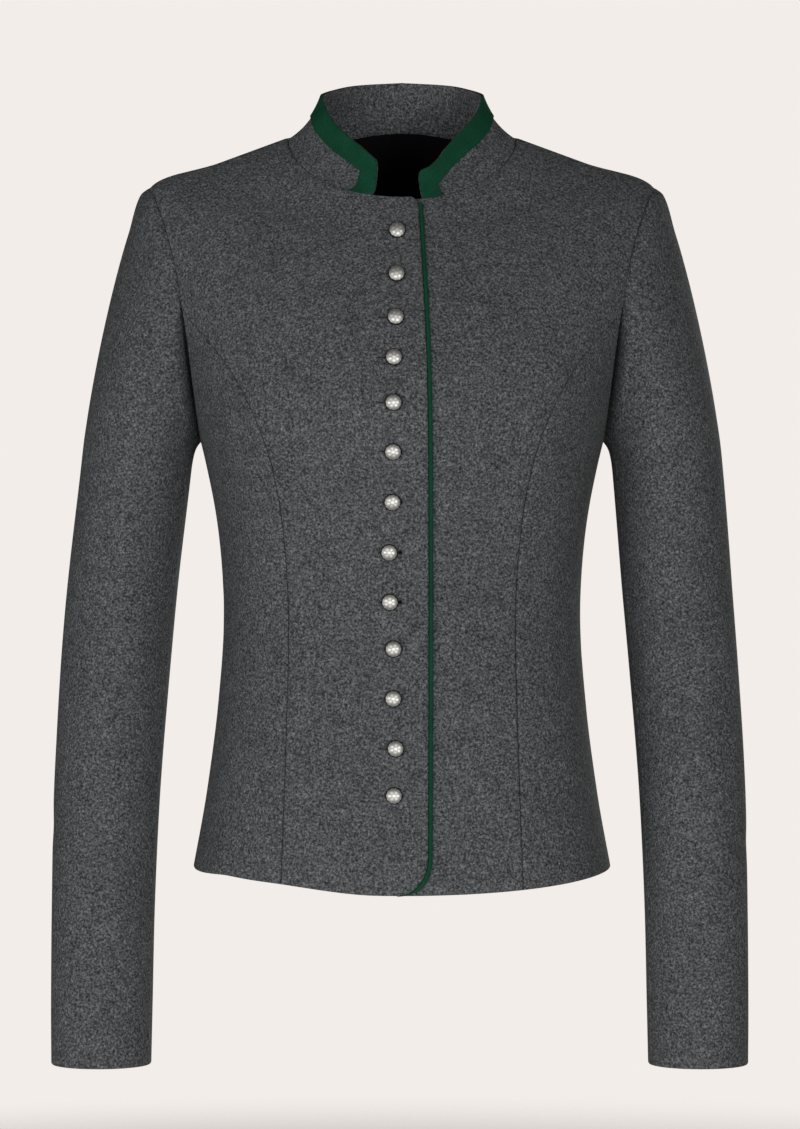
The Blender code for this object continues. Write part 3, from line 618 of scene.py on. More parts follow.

# %% [markdown]
# ## A sheet of cloth
# Every cut piece is a grid laid on the form and given its thickness inwards by an extrusion. Along a sewn
# edge the cloth turns down into the seam, and along a free edge it is folded round. Both are a small sink
# of the outer face over the last millimetres, so the grid has extra lines there. The inside is lined in
# black above the turned-up hem. The cut edges in a seam are painted black with it too, as painted shade,
# because no light reaches them.

# %% Edges of a sheet
EdgeForm = namedtuple("EdgeForm", "sink reach")
SEWN, FOLDED, PLAIN = EdgeForm(1.1, 1.9), EdgeForm(0.85, 1.5), EdgeForm(0.0, 1.0)
Edges = namedtuple("Edges", "first last bottom top")
EDGE_STEPS, CLOSEST_STEP = (0.3, 0.7, 1.2, 1.9, 3.0), 0.22
TIP_PRESSED, TIP_SIDE, TIP_HEIGHT = 0.85, (146.0, 160.0), (-54.0, -40.0)
ALLOWANCE = 0.3


def merged(values, closest):
    """Sorted values without those that crowd the one before, with both ends kept."""
    kept = [min(values)]
    for value in sorted(values):
        if value - kept[-1] > closest:
            kept.append(value)
    kept[-1] = max(values)
    return kept


def steps_with_edges(low, high, count, size, more=()):
    """Even steps, with finer ones within the last millimetres of both ends. size is the distance in mm."""
    unit = (high - low) / size
    ends = [low + step * unit for step in EDGE_STEPS] + [high - step * unit for step in EDGE_STEPS]
    return merged(even_steps(low, high, count) + ends + list(more), CLOSEST_STEP * unit)


def distances(points):
    """Distance of each point from the first, along the line."""
    found = [0.0]
    for start, end in zip(points, points[1:]):
        found.append(found[-1] + (end - start).length)
    return found


def sink_at(edges, from_first, from_last, from_bottom, from_top):
    """How far the outer face sinks near the edges of a piece."""
    deepest = 0.0
    for form, away in zip(edges, (from_first, from_last, from_bottom, from_top)):
        if away < form.reach:
            deepest = max(deepest, form.sink * (1 - away / form.reach) ** 2)
    return deepest


def seam_share(point):
    """Seams are pressed flat at the tip of the shoulder and show fully elsewhere."""
    return 1 - TIP_PRESSED * smooth_step(*TIP_SIDE, abs(point.x)) * smooth_step(*TIP_HEIGHT, point.z)


def allowance(placed, i, j, edges):
    """How far the inner face runs on behind a sewn edge, so that no light comes through the seam."""
    point = placed[j][i][0]
    grown = Vector()
    if i == 0 and edges.first is SEWN:
        grown += (point - placed[j][1][0]).normalized()
    if i == len(placed[0]) - 1 and edges.last is SEWN:
        grown += (point - placed[j][i - 1][0]).normalized()
    if j == len(placed) - 1 and edges.top is SEWN:
        grown += (point - placed[j - 1][i][0]).normalized()
    return grown * ALLOWANCE


print("edges sink by", SEWN.sink, "mm at seams and", FOLDED.sink, "mm at folds")

# %% A sheet of cloth
CLOTH, FELT, LINING = 2.0, 1.2, 1.0
TURNED_UP, NARROWEST_CUT = 32.0, 10.0
INNER_SINK, SHARP_ANGLE = 0.25, math.radians(60)
Cut = namedtuple("Cut", "node thickness slot held rests_on")


def new_piece(name, shape, finishes, slot, nodes=()):
    """Makes a bmesh an object that rides on the jacket's one body and stands for its solids."""
    mesh = bpy.data.meshes.new(name)
    shape.to_mesh(mesh)
    shape.free()
    mesh.shade_smooth()
    mesh.set_sharp_from_angle(angle=SHARP_ANGLE)
    for finish in finishes:
        mesh.materials.append(finish)
    piece = bpy.data.objects.new(name, mesh)
    scene.collection.objects.link(piece)
    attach(piece, "root")
    if nodes:
        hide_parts(*nodes)
    return piece


def cloth_sheet(cut, columns, rows, place, edges, finishes, bare_top=None):
    """A closed sheet on the points place(column, row), which prints the flat size that it was cut to.

    With bare_top its inside has the second finish, from the turned-up hem to this far below its top. Its
    sewn edges get the second finish too, as painted shade, because they lie in the dark of the seam.
    """
    placed = [[place(column, row) for column in columns] for row in rows]
    along_rows = [distances([point for point, _ in line]) for line in placed]
    along_columns = [distances([line[i][0] for line in placed]) for i in range(len(columns))]
    last_column, last_row = len(columns) - 1, len(rows) - 1
    shape = bmesh.new()
    bmesh.ops.create_grid(shape, x_segments=last_column, y_segments=last_row, size=0.5)
    extruded = bmesh.ops.extrude_face_region(shape, geom=shape.faces[:])
    inner = {item for item in extruded["geom"] if isinstance(item, bmesh.types.BMVert)}
    lined_points, sewn_points = set(), set()
    for vertex in shape.verts:
        i, j = round((vertex.co.x + 0.5) * last_column), round((vertex.co.y + 0.5) * last_row)
        point, outward = placed[j][i]
        across, up = along_rows[j], along_columns[i]
        sink = sink_at(edges, across[i], across[-1] - across[i], up[j], up[-1] - up[j])
        sink *= seam_share(point)
        grown = allowance(placed, i, j, edges)
        if grown.length > 0:
            sewn_points.add(vertex)
        if vertex in inner:
            point = point + grown
        depth = cut.thickness - sink * INNER_SINK if vertex in inner else sink
        vertex.co = (point - outward * depth) * MM
        if bare_top is not None and vertex in inner and TURNED_UP < up[j] < up[-1] - bare_top:
            lined_points.add(vertex)
    for face in shape.faces:
        # Faces in a seam get the second, black finish as painted shade; the lined inside is real lining.
        painted_seam_shade = sewn_points.issuperset(face.verts)
        face.material_index = int(bare_top is not None and (painted_seam_shade or lined_points.issuperset(face.verts)))
    bmesh.ops.recalc_face_normals(shape, faces=shape.faces[:])
    if shape.calc_volume(signed=True) < 0:
        bmesh.ops.reverse_faces(shape, faces=shape.faces[:])
    area = sum(face.calc_area() for face in shape.faces) / 2
    piece = new_piece(f"{cut.node}_cloth", shape, finishes, cut.slot, [cut.node])
    normals = piece.modifiers.new("even_shading", "WEIGHTED_NORMAL")
    normals.mode, normals.keep_sharp = "FACE_AREA", True
    length = max(line[-1] for line in along_columns) * MM
    width = max(max(line[-1] for line in along_rows) * MM, area / length, NARROWEST_CUT * MM)
    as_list(cut.rests_on)
    print(f"{piece.name} cut {width / MM:.0f} x {length / MM:.0f} mm, {area:.4f} m2")


def wool_sheet(node, rests_on, columns, rows, place, edges, bare_top=0.0):
    """A panel of wool whose inside is lined."""
    cut = Cut(node, CLOTH, "grey_wool", "hung", rests_on)
    cloth_sheet(cut, columns, rows, place, edges, [wool, lining], bare_top)


PANEL_EDGES = Edges(SEWN, SEWN, FOLDED, SEWN)
print("wool", CLOTH, "mm, felt", FELT, "mm, lining", LINING, "mm")

# %% [markdown]
# ## Fronts
# Each front is two pieces, so that the princess seam can shape the bust and waist. The right front laps
# over the left one, rises a little to pass over it and has round corners at hem and neck. Its columns run
# from the free edge to the seam and its rows are levels of the loft, with more of them round the corners.

# %% Centre fronts
LAP_EDGE = [SeamPoint(-523, 17.5), SeamPoint(-300, 18.0), SeamPoint(-160, 16.5), SeamPoint(-40, 10.5)]
LAP_X = x_curve(LAP_EDGE)
LAP_RAISE, LAP_RAISE_FROM, LAP_RAISE_TO = CLOTH + 0.5, -62.0, -18.0
UNDERLAP = 14.0
HEM_CORNER_WIDTH, HEM_CORNER_HEIGHT = 21.0, 25.0
NECK_CORNER_WIDTH, NECK_CORNER_HEIGHT = 5.0, 8.0
FRONT_HEM_Z, FRONT_NECK_Z = BODY_RINGS[0].front_z, BODY_RINGS[-1].front_z
FRONT_ROWS, FRONT_COLUMNS, CORNER_ROWS, FRONT_WIDTH = 100, 34, 12, 95.0
CLEAR_OF_SEAM = 2.0


def round_corner(width, height, from_end):
    """How far an edge is drawn in, this far from the end of an elliptical corner."""
    share = min(max(1 - from_end / height, 0.0), 1.0)
    return width * (1 - math.sqrt(1 - share * share))


@lru_cache(maxsize=None)
def lap_angle(level):
    """The angle of the right front's edge, past the centre line on the wearer's left."""
    z = body_point(0, level).z
    drawn_in = round_corner(HEM_CORNER_WIDTH, HEM_CORNER_HEIGHT, z - FRONT_HEM_Z)
    drawn_in += round_corner(NECK_CORNER_WIDTH, NECK_CORNER_HEIGHT, FRONT_NECK_Z - z)
    reach = LAP_X(z) - drawn_in
    return math.copysign(angle_at_x(level, lambda _: abs(reach)), reach)


def raised(point, outward):
    """The right front rises near the centre line to pass over the left front."""
    return point + outward * LAP_RAISE * smooth_step(LAP_RAISE_FROM, LAP_RAISE_TO, point.x)


def right_front_point(angle, level):
    point, outward = body_place(angle, level)
    return raised(point, outward)


@lru_cache(maxsize=None)
def front_edge_angle(side, level):
    """Signed angle of a front's free edge."""
    return lap_angle(level) if side == RIGHT else -angle_at_x(level, lambda _: UNDERLAP)


@lru_cache(maxsize=None)
def centre_front_outer(level):
    """The outer edge of a centre front: princess seam, then armhole, then shoulder seam."""
    if level <= PRINCESS_TOP:
        angle = princess_angle(level)
        return angle - degrees_for(angle, level, SEAM_GAP / 2)
    if level < TIP:
        return armhole_angle(level, True)
    return 90 - degrees_for(90, level, SEAM_GAP / 2)


def corner_levels():
    """Levels that follow the right front's round corners."""
    front_z = BODY_COLUMNS["front_z"]
    levels = []
    for row in range(1, CORNER_ROWS):
        share = 1 - math.cos(math.pi / 2 * row / CORNER_ROWS)
        hem_z = FRONT_HEM_Z + HEM_CORNER_HEIGHT * share
        neck_z = FRONT_NECK_Z - NECK_CORNER_HEIGHT * share
        levels.append(solve(HEM, UNDERARM, lambda t: front_z(t) > hem_z))
        levels.append(solve(TIP, NECK, lambda t: front_z(t) > neck_z))
    return levels


def word_for(side):
    return "right" if side == RIGHT else "left"


ARMHOLE_ABOVE_SEAM = [level for level in ARMHOLE_LEVELS if level > PRINCESS_TOP + CLEAR_OF_SEAM]
FRONT_LEVELS = even_steps(HEM, PRINCESS_TOP, FRONT_ROWS) + ARMHOLE_ABOVE_SEAM
FRONT_LEVELS += SHOULDER_LEVELS + corner_levels()


def centre_front(side):
    def place(share, level):
        angle = mix(front_edge_angle(side, level), side * centre_front_outer(level), share)
        point, outward = body_place(angle, level)
        return (raised(point, outward), outward) if side == RIGHT else (point, outward)

    rows = steps_with_edges(HEM, NECK, 1, NECK - HEM, FRONT_LEVELS)
    columns = steps_with_edges(0, 1, FRONT_COLUMNS, FRONT_WIDTH)
    edges = PANEL_EDGES._replace(first=FOLDED)
    wool_sheet(f"centre_front_{word_for(side)}", [f"back_{word_for(side)}"], columns, rows, place, edges)


for side in (RIGHT, LEFT):
    centre_front(side)

# %% [markdown]
# ## Side fronts
# A side front is widest at the hem and ends in a point where the princess seam meets the armhole. Its upper
# edge is the armhole's curve, so each column ends at its own level and the rows are shares of the way up.

# %% Side fronts
SIDE_COLUMNS, SIDE_WIDTH, SIDE_ROWS, SIDE_LENGTH = 26, 95.0, 100, 330.0


def side_front_angle(share, level):
    inner = princess_angle(level)
    inner += degrees_for(inner, level, SEAM_GAP / 2)
    outer = 90 - degrees_for(90, level, SEAM_GAP / 2)
    return mix(inner, outer, share)


@lru_cache(maxsize=None)
def side_front_top(share):
    """The level where a column of the side front meets the armhole."""
    return solve(UNDERARM, PRINCESS_TOP, lambda t: side_front_angle(share, t) > armhole_angle(t, True))


def side_front(side):
    def place(share, height):
        level = mix(HEM, side_front_top(share), height)
        return body_place(side * side_front_angle(share, level), level)

    columns = steps_with_edges(0, 1, SIDE_COLUMNS, SIDE_WIDTH)
    rows = steps_with_edges(0, 1, SIDE_ROWS, SIDE_LENGTH)
    rests_on = [f"centre_front_{word_for(side)}"]
    wool_sheet(f"side_front_{word_for(side)}", rests_on, columns, rows, place, PANEL_EDGES)


for side in (RIGHT, LEFT):
    side_front(side)

# %% [markdown]
# ## Back and its lining
# The back is two halves with a seam down the middle. Inside the neck a black lining shows, which follows
# the back's own lines a little further in.

# %% Back and its lining
LINING_TOP_DROP, LINING_DEPTH, LINING_REACH = 0.3, 105.0, 7 / 9
LINING_ARCH, LINING_ARCH_X, LINING_ARCH_MOST, BARE_NECK = 4.6, 32.0, 2.0, 12.0
BACK_ROWS, BACK_COLUMNS, BACK_WIDTH = 88, 40, 150.0
LINING_COLUMNS, LINING_ROWS = 60, 36


@lru_cache(maxsize=None)
def back_outer(level):
    if UNDERARM < level < TIP:
        return armhole_angle(level, False)
    return 90 + degrees_for(90, level, SEAM_GAP / 2)


def back_angle(side, share, level):
    """share runs from the centre back seam to the back's outer edge."""
    centre = 180 - degrees_for(180, level, SEAM_GAP / 2)
    return side * mix(centre, back_outer(level), share)


def back_half(side):
    def place(share, level):
        return body_place(back_angle(side, share, level), level)

    levels = even_steps(HEM, UNDERARM, BACK_ROWS) + ARMHOLE_LEVELS + SHOULDER_LEVELS
    rows = steps_with_edges(HEM, NECK, 1, NECK - HEM, levels)
    columns = steps_with_edges(0, 1, BACK_COLUMNS, BACK_WIDTH)
    rests_on = [f"centre_front_{word_for(side)}"]
    wool_sheet(f"back_{word_for(side)}", rests_on, columns, rows, place, PANEL_EDGES, BARE_NECK)


def back_lining():
    def place(share, height):
        side = RIGHT if share < 0 else LEFT
        neck_x = body_point(back_angle(side, abs(share), NECK), NECK).x
        arched = LINING_ARCH * min((neck_x / LINING_ARCH_X) ** 2, LINING_ARCH_MOST)
        level = mix(bottom, top - arched, height)
        angle = back_angle(side, abs(share), level)
        point, outward = body_point(angle, level), body_normal(angle, level)
        return point - outward * (CLOTH + SEAM_GAP), outward

    top = NECK - LINING_TOP_DROP
    bottom = top - LINING_DEPTH
    cut = Cut("back_lining", LINING, "black_lining", "hung", ["back_left", "back_right"])
    columns = even_steps(-LINING_REACH, LINING_REACH, LINING_COLUMNS)
    rows = even_steps(0, 1, LINING_ROWS)
    cloth_sheet(cut, columns, rows, place, Edges(PLAIN, PLAIN, PLAIN, PLAIN), [lining])


for side in (RIGHT, LEFT):
    back_half(side)
back_lining()

# %% [markdown]
# ## Sleeves
# A tailored sleeve is cut in two: a wide top sleeve and a narrow under sleeve, with seams that hang towards
# the body. Below the biceps it is a tube through tilted rings that bends forward at the elbow. The cap
# above is a set of smooth lines, one for each point of the armhole, so the sleeve meets the armhole all
# round. Above the underarm its cloth goes in behind the body's edge, which makes the dark fold there, and
# at the shoulder its head stands full. The bends inside the elbow are creases as on the body, placed by
# turn round the arm and by drop below the biceps.

# %% Sleeve form
SleeveRing = namedtuple("SleeveRing", "name z centre_x centre_y half_width half_depth tilt")
SLEEVE_RINGS = [
    SleeveRing("biceps", -229, 186.0, 6, 38.0, 55.0, 0.20),
    SleeveRing("upper_arm", -298, 193.0, 8, 38.3, 51.5, 0.12),
    SleeveRing("elbow", -376, 199.6, 7, 37.9, 47.0, 0.09),
    SleeveRing("forearm", -454, 204.4, -4, 37.1, 43.0, 0.05),
    SleeveRing("lower_arm", -532, 206.2, -18, 35.9, 40.0, 0.02),
    SleeveRing("wrist", -606, 206.6, -30, 35.2, 38.0, 0.01),
    SleeveRing("cuff", -644, 206.6, -35, 34.6, 37.0, 0.0),
]
SLEEVE_SWAY, SLEEVE_SWAY_FROM, SLEEVE_SWAY_TO = -1.6, -215.0, -330.0
FRONT_SLEEVE_SEAM, BACK_SLEEVE_SEAM = 20.3, 300.0
SLEEVE_KNOTS = [SLEEVE_RINGS[0].z - ring.z for ring in SLEEVE_RINGS]
SLEEVE_CURVES = column_curves(SLEEVE_RINGS, SLEEVE_KNOTS, SleeveRing._fields[2:])
SLEEVE_LENGTH = SLEEVE_KNOTS[-1]
CAP_LEAVES_OUT, CAP_LEAVES_DOWN = (0.6, 0.88), (-0.8, -0.48)
CAP_FIRST_REACH, CAP_SECOND_REACH = (0.3, 0.08), (0.33, 0.31)
SLEEVE_TURN_STEP, CAP_STEP, TUBE_STEP = 2.0, 0.02, 1.0


@lru_cache(maxsize=None)
def sleeve_sizes(drop):
    return {name: curve(drop) for name, curve in SLEEVE_CURVES.items()}


def sleeve_tube_point(turn, drop):
    """A point of the left sleeve below the cap. turn is as at the armhole, and drop is below the biceps."""
    size = sleeve_sizes(drop)
    angle = math.radians(turn)
    out = -size["half_width"] * math.cos(angle)
    y = size["centre_y"] - size["half_depth"] * math.sin(angle)
    return Vector((size["centre_x"] + out, y, SLEEVE_RINGS[0].z - drop + size["tilt"] * out))


@lru_cache(maxsize=None)
def cap_handles(turn):
    """Bezier points of the cap's line at this turn, from the armhole down to the biceps ring."""
    angle, level = armhole_place(turn)
    seam, outward = body_point(angle, level), body_normal(angle, level)
    ways = (-SLEEVE_TURN_STEP, SLEEVE_TURN_STEP)
    before, after = (body_point(*armhole_place(turn + way)) for way in ways)
    across = (after - before).cross(outward).normalized()
    across *= math.copysign(1, across.x)
    start = seam + across * SEAM_GAP
    end = sleeve_tube_point(turn, 0)
    height = (1 - math.cos(math.radians(turn))) / 2
    leave = Vector((mix(*CAP_LEAVES_OUT, height), 0, mix(*CAP_LEAVES_DOWN, height))).normalized()
    arrive = (sleeve_tube_point(turn, 1) - end).normalized()
    span = (end - start).length
    first = start + leave * span * mix(*CAP_FIRST_REACH, height)
    second = end - arrive * span * mix(*CAP_SECOND_REACH, height)
    return start, first, second, end, outward


def sleeve_point(turn, drop):
    """A point of the left sleeve. drop runs from -1 at the armhole to 0 at the biceps, then in mm."""
    if drop >= 0:
        return sleeve_tube_point(turn, drop)
    start, first, second, end, _ = cap_handles(turn)
    s = drop + 1
    return start * (1 - s) ** 3 + first * 3 * s * (1 - s) ** 2 + second * 3 * s * s * (1 - s) + end * s**3


@lru_cache(maxsize=None)
def sleeve_place(turn, drop):
    """A point of the left sleeve and the outward direction there."""
    point = sleeve_point(turn, drop)
    if drop <= -1:
        return point, cap_handles(turn)[4]
    in_cap = drop < 0
    step = CAP_STEP if in_cap else TUBE_STEP
    low, high = max(drop - step, -1), min(drop + step, 0 if in_cap else SLEEVE_LENGTH)
    down = sleeve_point(turn, high) - sleeve_point(turn, low)
    around = sleeve_point(turn + SLEEVE_TURN_STEP, drop) - sleeve_point(turn - SLEEVE_TURN_STEP, drop)
    return point, down.cross(around).normalized()


print("sleeve", SLEEVE_LENGTH, "mm below the biceps")

# %% Sleeves
SLEEVE_CREASES = {
    RIGHT: [
        Crease(40, 96, 105, 112, 4, 8.0, 1.1),
        Crease(34, 132, 92, 142, -4, 7.0, 1.0),
        Crease(44, 168, 100, 160, 4, 8.0, 0.8),
        Crease(60, 10, 96, 60, 5, 10.0, 0.7),
        Crease(96, 250, 150, 262, 5, 10.0, 0.6),
        Crease(52, 316, 110, 330, -4, 9.0, 0.6),
        Crease(112, 60, 118, 200, 5, 12.0, -0.8),
        Crease(226, 110, 150, 128, 5, 10.0, 0.7),
        Crease(250, 300, 190, 318, -4, 10.0, 0.6),
    ],
    LEFT: [
        Crease(38, 88, 98, 108, 5, 8.0, 1.0),
        Crease(36, 126, 104, 134, -3, 7.0, 1.1),
        Crease(42, 172, 88, 162, 4, 8.0, 0.8),
        Crease(56, 14, 92, 66, 4, 10.0, 0.7),
        Crease(92, 270, 148, 256, -5, 10.0, 0.6),
        Crease(54, 330, 104, 318, 4, 9.0, 0.6),
        Crease(106, 70, 114, 210, -5, 12.0, -0.8),
        Crease(228, 122, 154, 112, -5, 10.0, 0.7),
        Crease(248, 316, 186, 304, 4, 10.0, 0.6),
    ],
}
CAP_STEPS, CAP_CROWDING, TUBE_STEPS = 46, 1.4, 118
CLOSEST_IN_CAP, CLOSEST_IN_TUBE = 0.001, 0.2
CAP_EDGE_ROWS = [0.002, 0.005, 0.010, 0.017, 0.026]
CAP_ROWS = CAP_EDGE_ROWS + [share**CAP_CROWDING for share in even_steps(0, 1, CAP_STEPS)]
TOP_WIDTH, UNDER_WIDTH, CLEAR_OF_EDGE = 205.0, 70.0, 1.0
MM_PER_TURN_DEGREE = 0.75
TUCK_DEPTH, TUCK_UNDER, TUCK_REACH, TUCK_FADE = 36.0, 4.0, 15.0, 3
TUCK_TURNS = (2.0, 12.0, 50.0, 106.0)
HEAD_RISE, HEAD_TOP, HEAD_END, HEAD_TURNS = 2.0, 8.0, 36.0, (20.0, 75.0)


def from_seam(turn, drop):
    return (sleeve_point(turn, drop) - sleeve_point(turn, -1)).length


def tucked(turn, drop):
    """How the sleeve's cloth moves behind the body's edge, above the underarm. It fades out higher up."""
    above = min(turn % 360, 360 - turn % 360)
    share = smooth_step(*TUCK_TURNS[:2], above) * (1 - smooth_step(*TUCK_TURNS[2:], above))
    share *= max(1 - from_seam(turn, drop) / TUCK_REACH, 0) ** TUCK_FADE
    return Vector((-TUCK_UNDER, TUCK_DEPTH * math.sin(math.radians(turn)), 0)) * share


def head_height(turn, drop):
    """How far the sleeve head stands up beside the shoulder, where its fullness is eased in."""
    share = 1 - smooth_step(*HEAD_TURNS, abs(turn % 360 - 180))
    away = from_seam(turn, drop)
    return HEAD_RISE * share * smooth_step(0, HEAD_TOP, away) * (1 - smooth_step(HEAD_TOP, HEAD_END, away))


def sleeve_piece(kind, side, first_turn, last_turn, width):
    def place(turn, drop):
        point, outward = sleeve_place(turn, drop)
        if drop > 0:
            height = crease_height(SLEEVE_CREASES[side], (turn % 360) * MM_PER_TURN_DEGREE, drop)
            point = point + outward * height
        else:
            point = point + tucked(turn, drop) + outward * head_height(turn, drop)
        sway = SLEEVE_SWAY * smooth_step(SLEEVE_SWAY_FROM, SLEEVE_SWAY_TO, point.z)
        placed = Vector((side * point.x + sway, point.y, point.z))
        return placed, Vector((side * outward.x, outward.y, outward.z))

    half_gap = math.degrees(SEAM_GAP / 2 / SLEEVE_RINGS[2].half_width)
    inside = (first_turn + CLEAR_OF_EDGE, last_turn - CLEAR_OF_EDGE)
    turns = [turn for turn in ARMHOLE_TURNS if inside[0] < turn < inside[1]]
    columns = steps_with_edges(first_turn + half_gap, last_turn - half_gap, 1, width, turns)
    cuff = [SLEEVE_LENGTH - step for step in EDGE_STEPS]
    tube = merged(even_steps(0, SLEEVE_LENGTH, TUBE_STEPS) + cuff, CLOSEST_IN_TUBE)
    cap = merged([share - 1 for share in CAP_ROWS], CLOSEST_IN_CAP)
    rows = (cap[:-1] + tube)[::-1]
    word = word_for(side)
    rests_on = [f"back_{word}", f"centre_front_{word}"]
    wool_sheet(f"{kind}_sleeve_{word}", rests_on, columns, rows, place, PANEL_EDGES)


for side in (RIGHT, LEFT):
    sleeve_piece("top", side, FRONT_SLEEVE_SEAM, BACK_SLEEVE_SEAM, TOP_WIDTH)
    sleeve_piece("under", side, BACK_SLEEVE_SEAM - 360, FRONT_SLEEVE_SEAM, UNDER_WIDTH)

# %% [markdown]
# ## Collar
# The stand collar is a curved strip sewn to the neck. It leans inwards as it rises and is open in front.
# Its front ends stand out past their feet and have rounded corners. Its section is a bent line from the
# neck seam to the top edge, and height and lean change along it.

# %% Collar
CollarSection = namedtuple("CollarSection", "angle right_height left_height lean band")
COLLAR_SECTIONS = [
    CollarSection(0, 22.0, 18.0, 6.0, 16.0),
    CollarSection(14, 25.5, 21.5, 8.4, 16.0),
    CollarSection(22, 30.0, 25.5, 12.2, 16.0),
    CollarSection(30, 33.0, 31.0, 16.2, 15.5),
    CollarSection(45, 34.5, 35.0, 20.5, 15.5),
    CollarSection(68, 33.5, 33.5, 23.8, 16.5),
    CollarSection(90, 31.5, 31.5, 24.4, 17.0),
    CollarSection(125, 32.0, 32.0, 20.5, 17.0),
    CollarSection(155, 34.0, 34.0, 9.5, 16.0),
    CollarSection(180, 35.4, 35.4, 4.0, 16.0),
]
COLLAR_END_X = {RIGHT: 25.0, LEFT: 15.5}
CollarFoot = namedtuple("CollarFoot", "width share")
COLLAR_FOOT = {RIGHT: CollarFoot(6.0, 0.35), LEFT: CollarFoot(2.5, 1.0)}
COLLAR_CORNER, COLLAR_CORNER_SHARE = 2.4, 0.2
COLLAR_CENTRE_Y, COLLAR_SET_IN, COLLAR_LIFT = 5.0, 0.5, -1.0
COLLAR_BEND_LEAN, COLLAR_BEND_HEIGHT = 0.70, 0.33
COLLAR_LENGTH, COLLAR_STAND, COLLAR_COLUMNS, COLLAR_ROWS = 420.0, 38.0, 150, 15
ALONG_STEP, SHARE_STEP = 0.004, 0.02
COLLAR_ANGLES = [section.angle for section in COLLAR_SECTIONS]
COLLAR_CURVES = column_curves(COLLAR_SECTIONS, COLLAR_ANGLES, CollarSection._fields[1:])
COLLAR_END_ANGLE = {side: angle_at_x(NECK, lambda _: COLLAR_END_X[side]) for side in (RIGHT, LEFT)}


def collar_height(angle):
    return COLLAR_CURVES["right_height" if angle < 0 else "left_height"](abs(angle))


def side_of(signed):
    return RIGHT if signed < 0 else LEFT


def collar_line_point(angle, share):
    """A point of the collar's outer face. angle is signed from the centre front, share runs up the stand."""
    base = body_point(angle, NECK)
    if -90 < angle < 0:
        base = raised(base, body_normal(angle, NECK))
    height, lean = collar_height(angle), COLLAR_CURVES["lean"](abs(angle))
    inwards = Vector((-base.x, COLLAR_CENTRE_Y - base.y, 0)).normalized()
    base = base + Vector((0, 0, COLLAR_LIFT)) + inwards * COLLAR_SET_IN
    bend = base + inwards * lean * COLLAR_BEND_LEAN + Vector((0, 0, height * COLLAR_BEND_HEIGHT))
    top = base + inwards * lean + Vector((0, 0, height))
    return base * (1 - share) ** 2 + bend * 2 * share * (1 - share) + top * share * share


def collar_angle(along, share):
    """along runs from -1 at the right end, round the back at 0, to 1 at the left end."""
    foot = COLLAR_FOOT[side_of(along)]
    drawn_in = round_corner(COLLAR_CORNER, COLLAR_CORNER_SHARE, 1 - share)
    stands_out = foot.width - round_corner(foot.width, foot.share, share)
    end = COLLAR_END_ANGLE[side_of(along)]
    end += degrees_for(end, NECK, drawn_in - stands_out)
    return math.copysign(180 - (180 - end) * abs(along), along)


def collar_place(along, share):
    def point(a, s):
        return collar_line_point(collar_angle(a, s), s)

    a = min(max(along, ALONG_STEP - 1), 1 - ALONG_STEP)
    s = min(max(share, SHARE_STEP), 1 - SHARE_STEP)
    outward = Vector((0, 1, 0))
    if abs(a) > ALONG_STEP:
        outward = surface_normal(point, a, s, ALONG_STEP, SHARE_STEP)
    facing = point(along, share) - Vector((0, COLLAR_CENTRE_Y, 0))
    facing.z = 0
    return point(along, share), outward * math.copysign(1, outward.dot(facing))


collar_columns = steps_with_edges(-1, 1, COLLAR_COLUMNS, COLLAR_LENGTH)
collar_rows = steps_with_edges(0, 1, COLLAR_ROWS, COLLAR_STAND)
collar_edges = Edges(FOLDED, FOLDED, SEWN, FOLDED)
collar_cut = Cut("collar", CLOTH, "grey_wool", "hung", ["back_left", "back_right"])
cloth_sheet(collar_cut, collar_columns, collar_rows, collar_place, collar_edges, [wool])

# %% [markdown]
# ## Felt edging
# A green felt band lies on the collar along its front ends and its top edge, and a narrow felt strip stands
# out of the right front's edge. The band's path goes up one end, along the top and down the other, and its
# inner line stops short of the ends so that the corners are mitred.

# %% Collar band
BAND_END_WIDTH, BAND_LIFT = 11.5, 0.15
BAND_END_STEPS, BAND_COLUMNS, SLANT_PER_LEAN = 18, 10, 0.35
FELT_EDGE = EdgeForm(0.5, 0.9)


def band_end_share(side):
    """The share of a collar half that the band is wide, at the collar's end."""
    end = COLLAR_END_ANGLE[side]
    quarter_turn = (collar_line_point(side * end, 0.5) - collar_line_point(side * 90, 0.5)).length
    return BAND_END_WIDTH / quarter_turn * (90 - end) / (180 - end)


BAND_END_SHARES = {side: band_end_share(side) for side in (RIGHT, LEFT)}


def band_inner_line(along):
    """The band's inner line stops short of the collar's ends, where the band turns its corner."""
    crowded = max(abs(along) - (1 - 2 * BAND_END_SHARES[side_of(along)]), 0)
    return math.copysign(abs(along) - crowded / 2, along)


def band_place(width, path):
    """path runs up the right end from 0 to 1, along the top to 2 and down the left end to 3."""
    top_line = mix(-1, 1, min(max(path - 1, 0), 1))
    along = mix(band_inner_line(top_line), top_line, width)
    angle = collar_angle(along, 1)
    slant_height = collar_height(angle) + SLANT_PER_LEAN * COLLAR_CURVES["lean"](abs(angle))
    top = 1 - COLLAR_CURVES["band"](abs(angle)) / slant_height * (1 - width)
    share = top * min(max(1 - abs(path - 1.5) + 0.5, 0), 1)
    point, outward = collar_place(along, share)
    return point + outward * (BAND_LIFT + FELT), outward


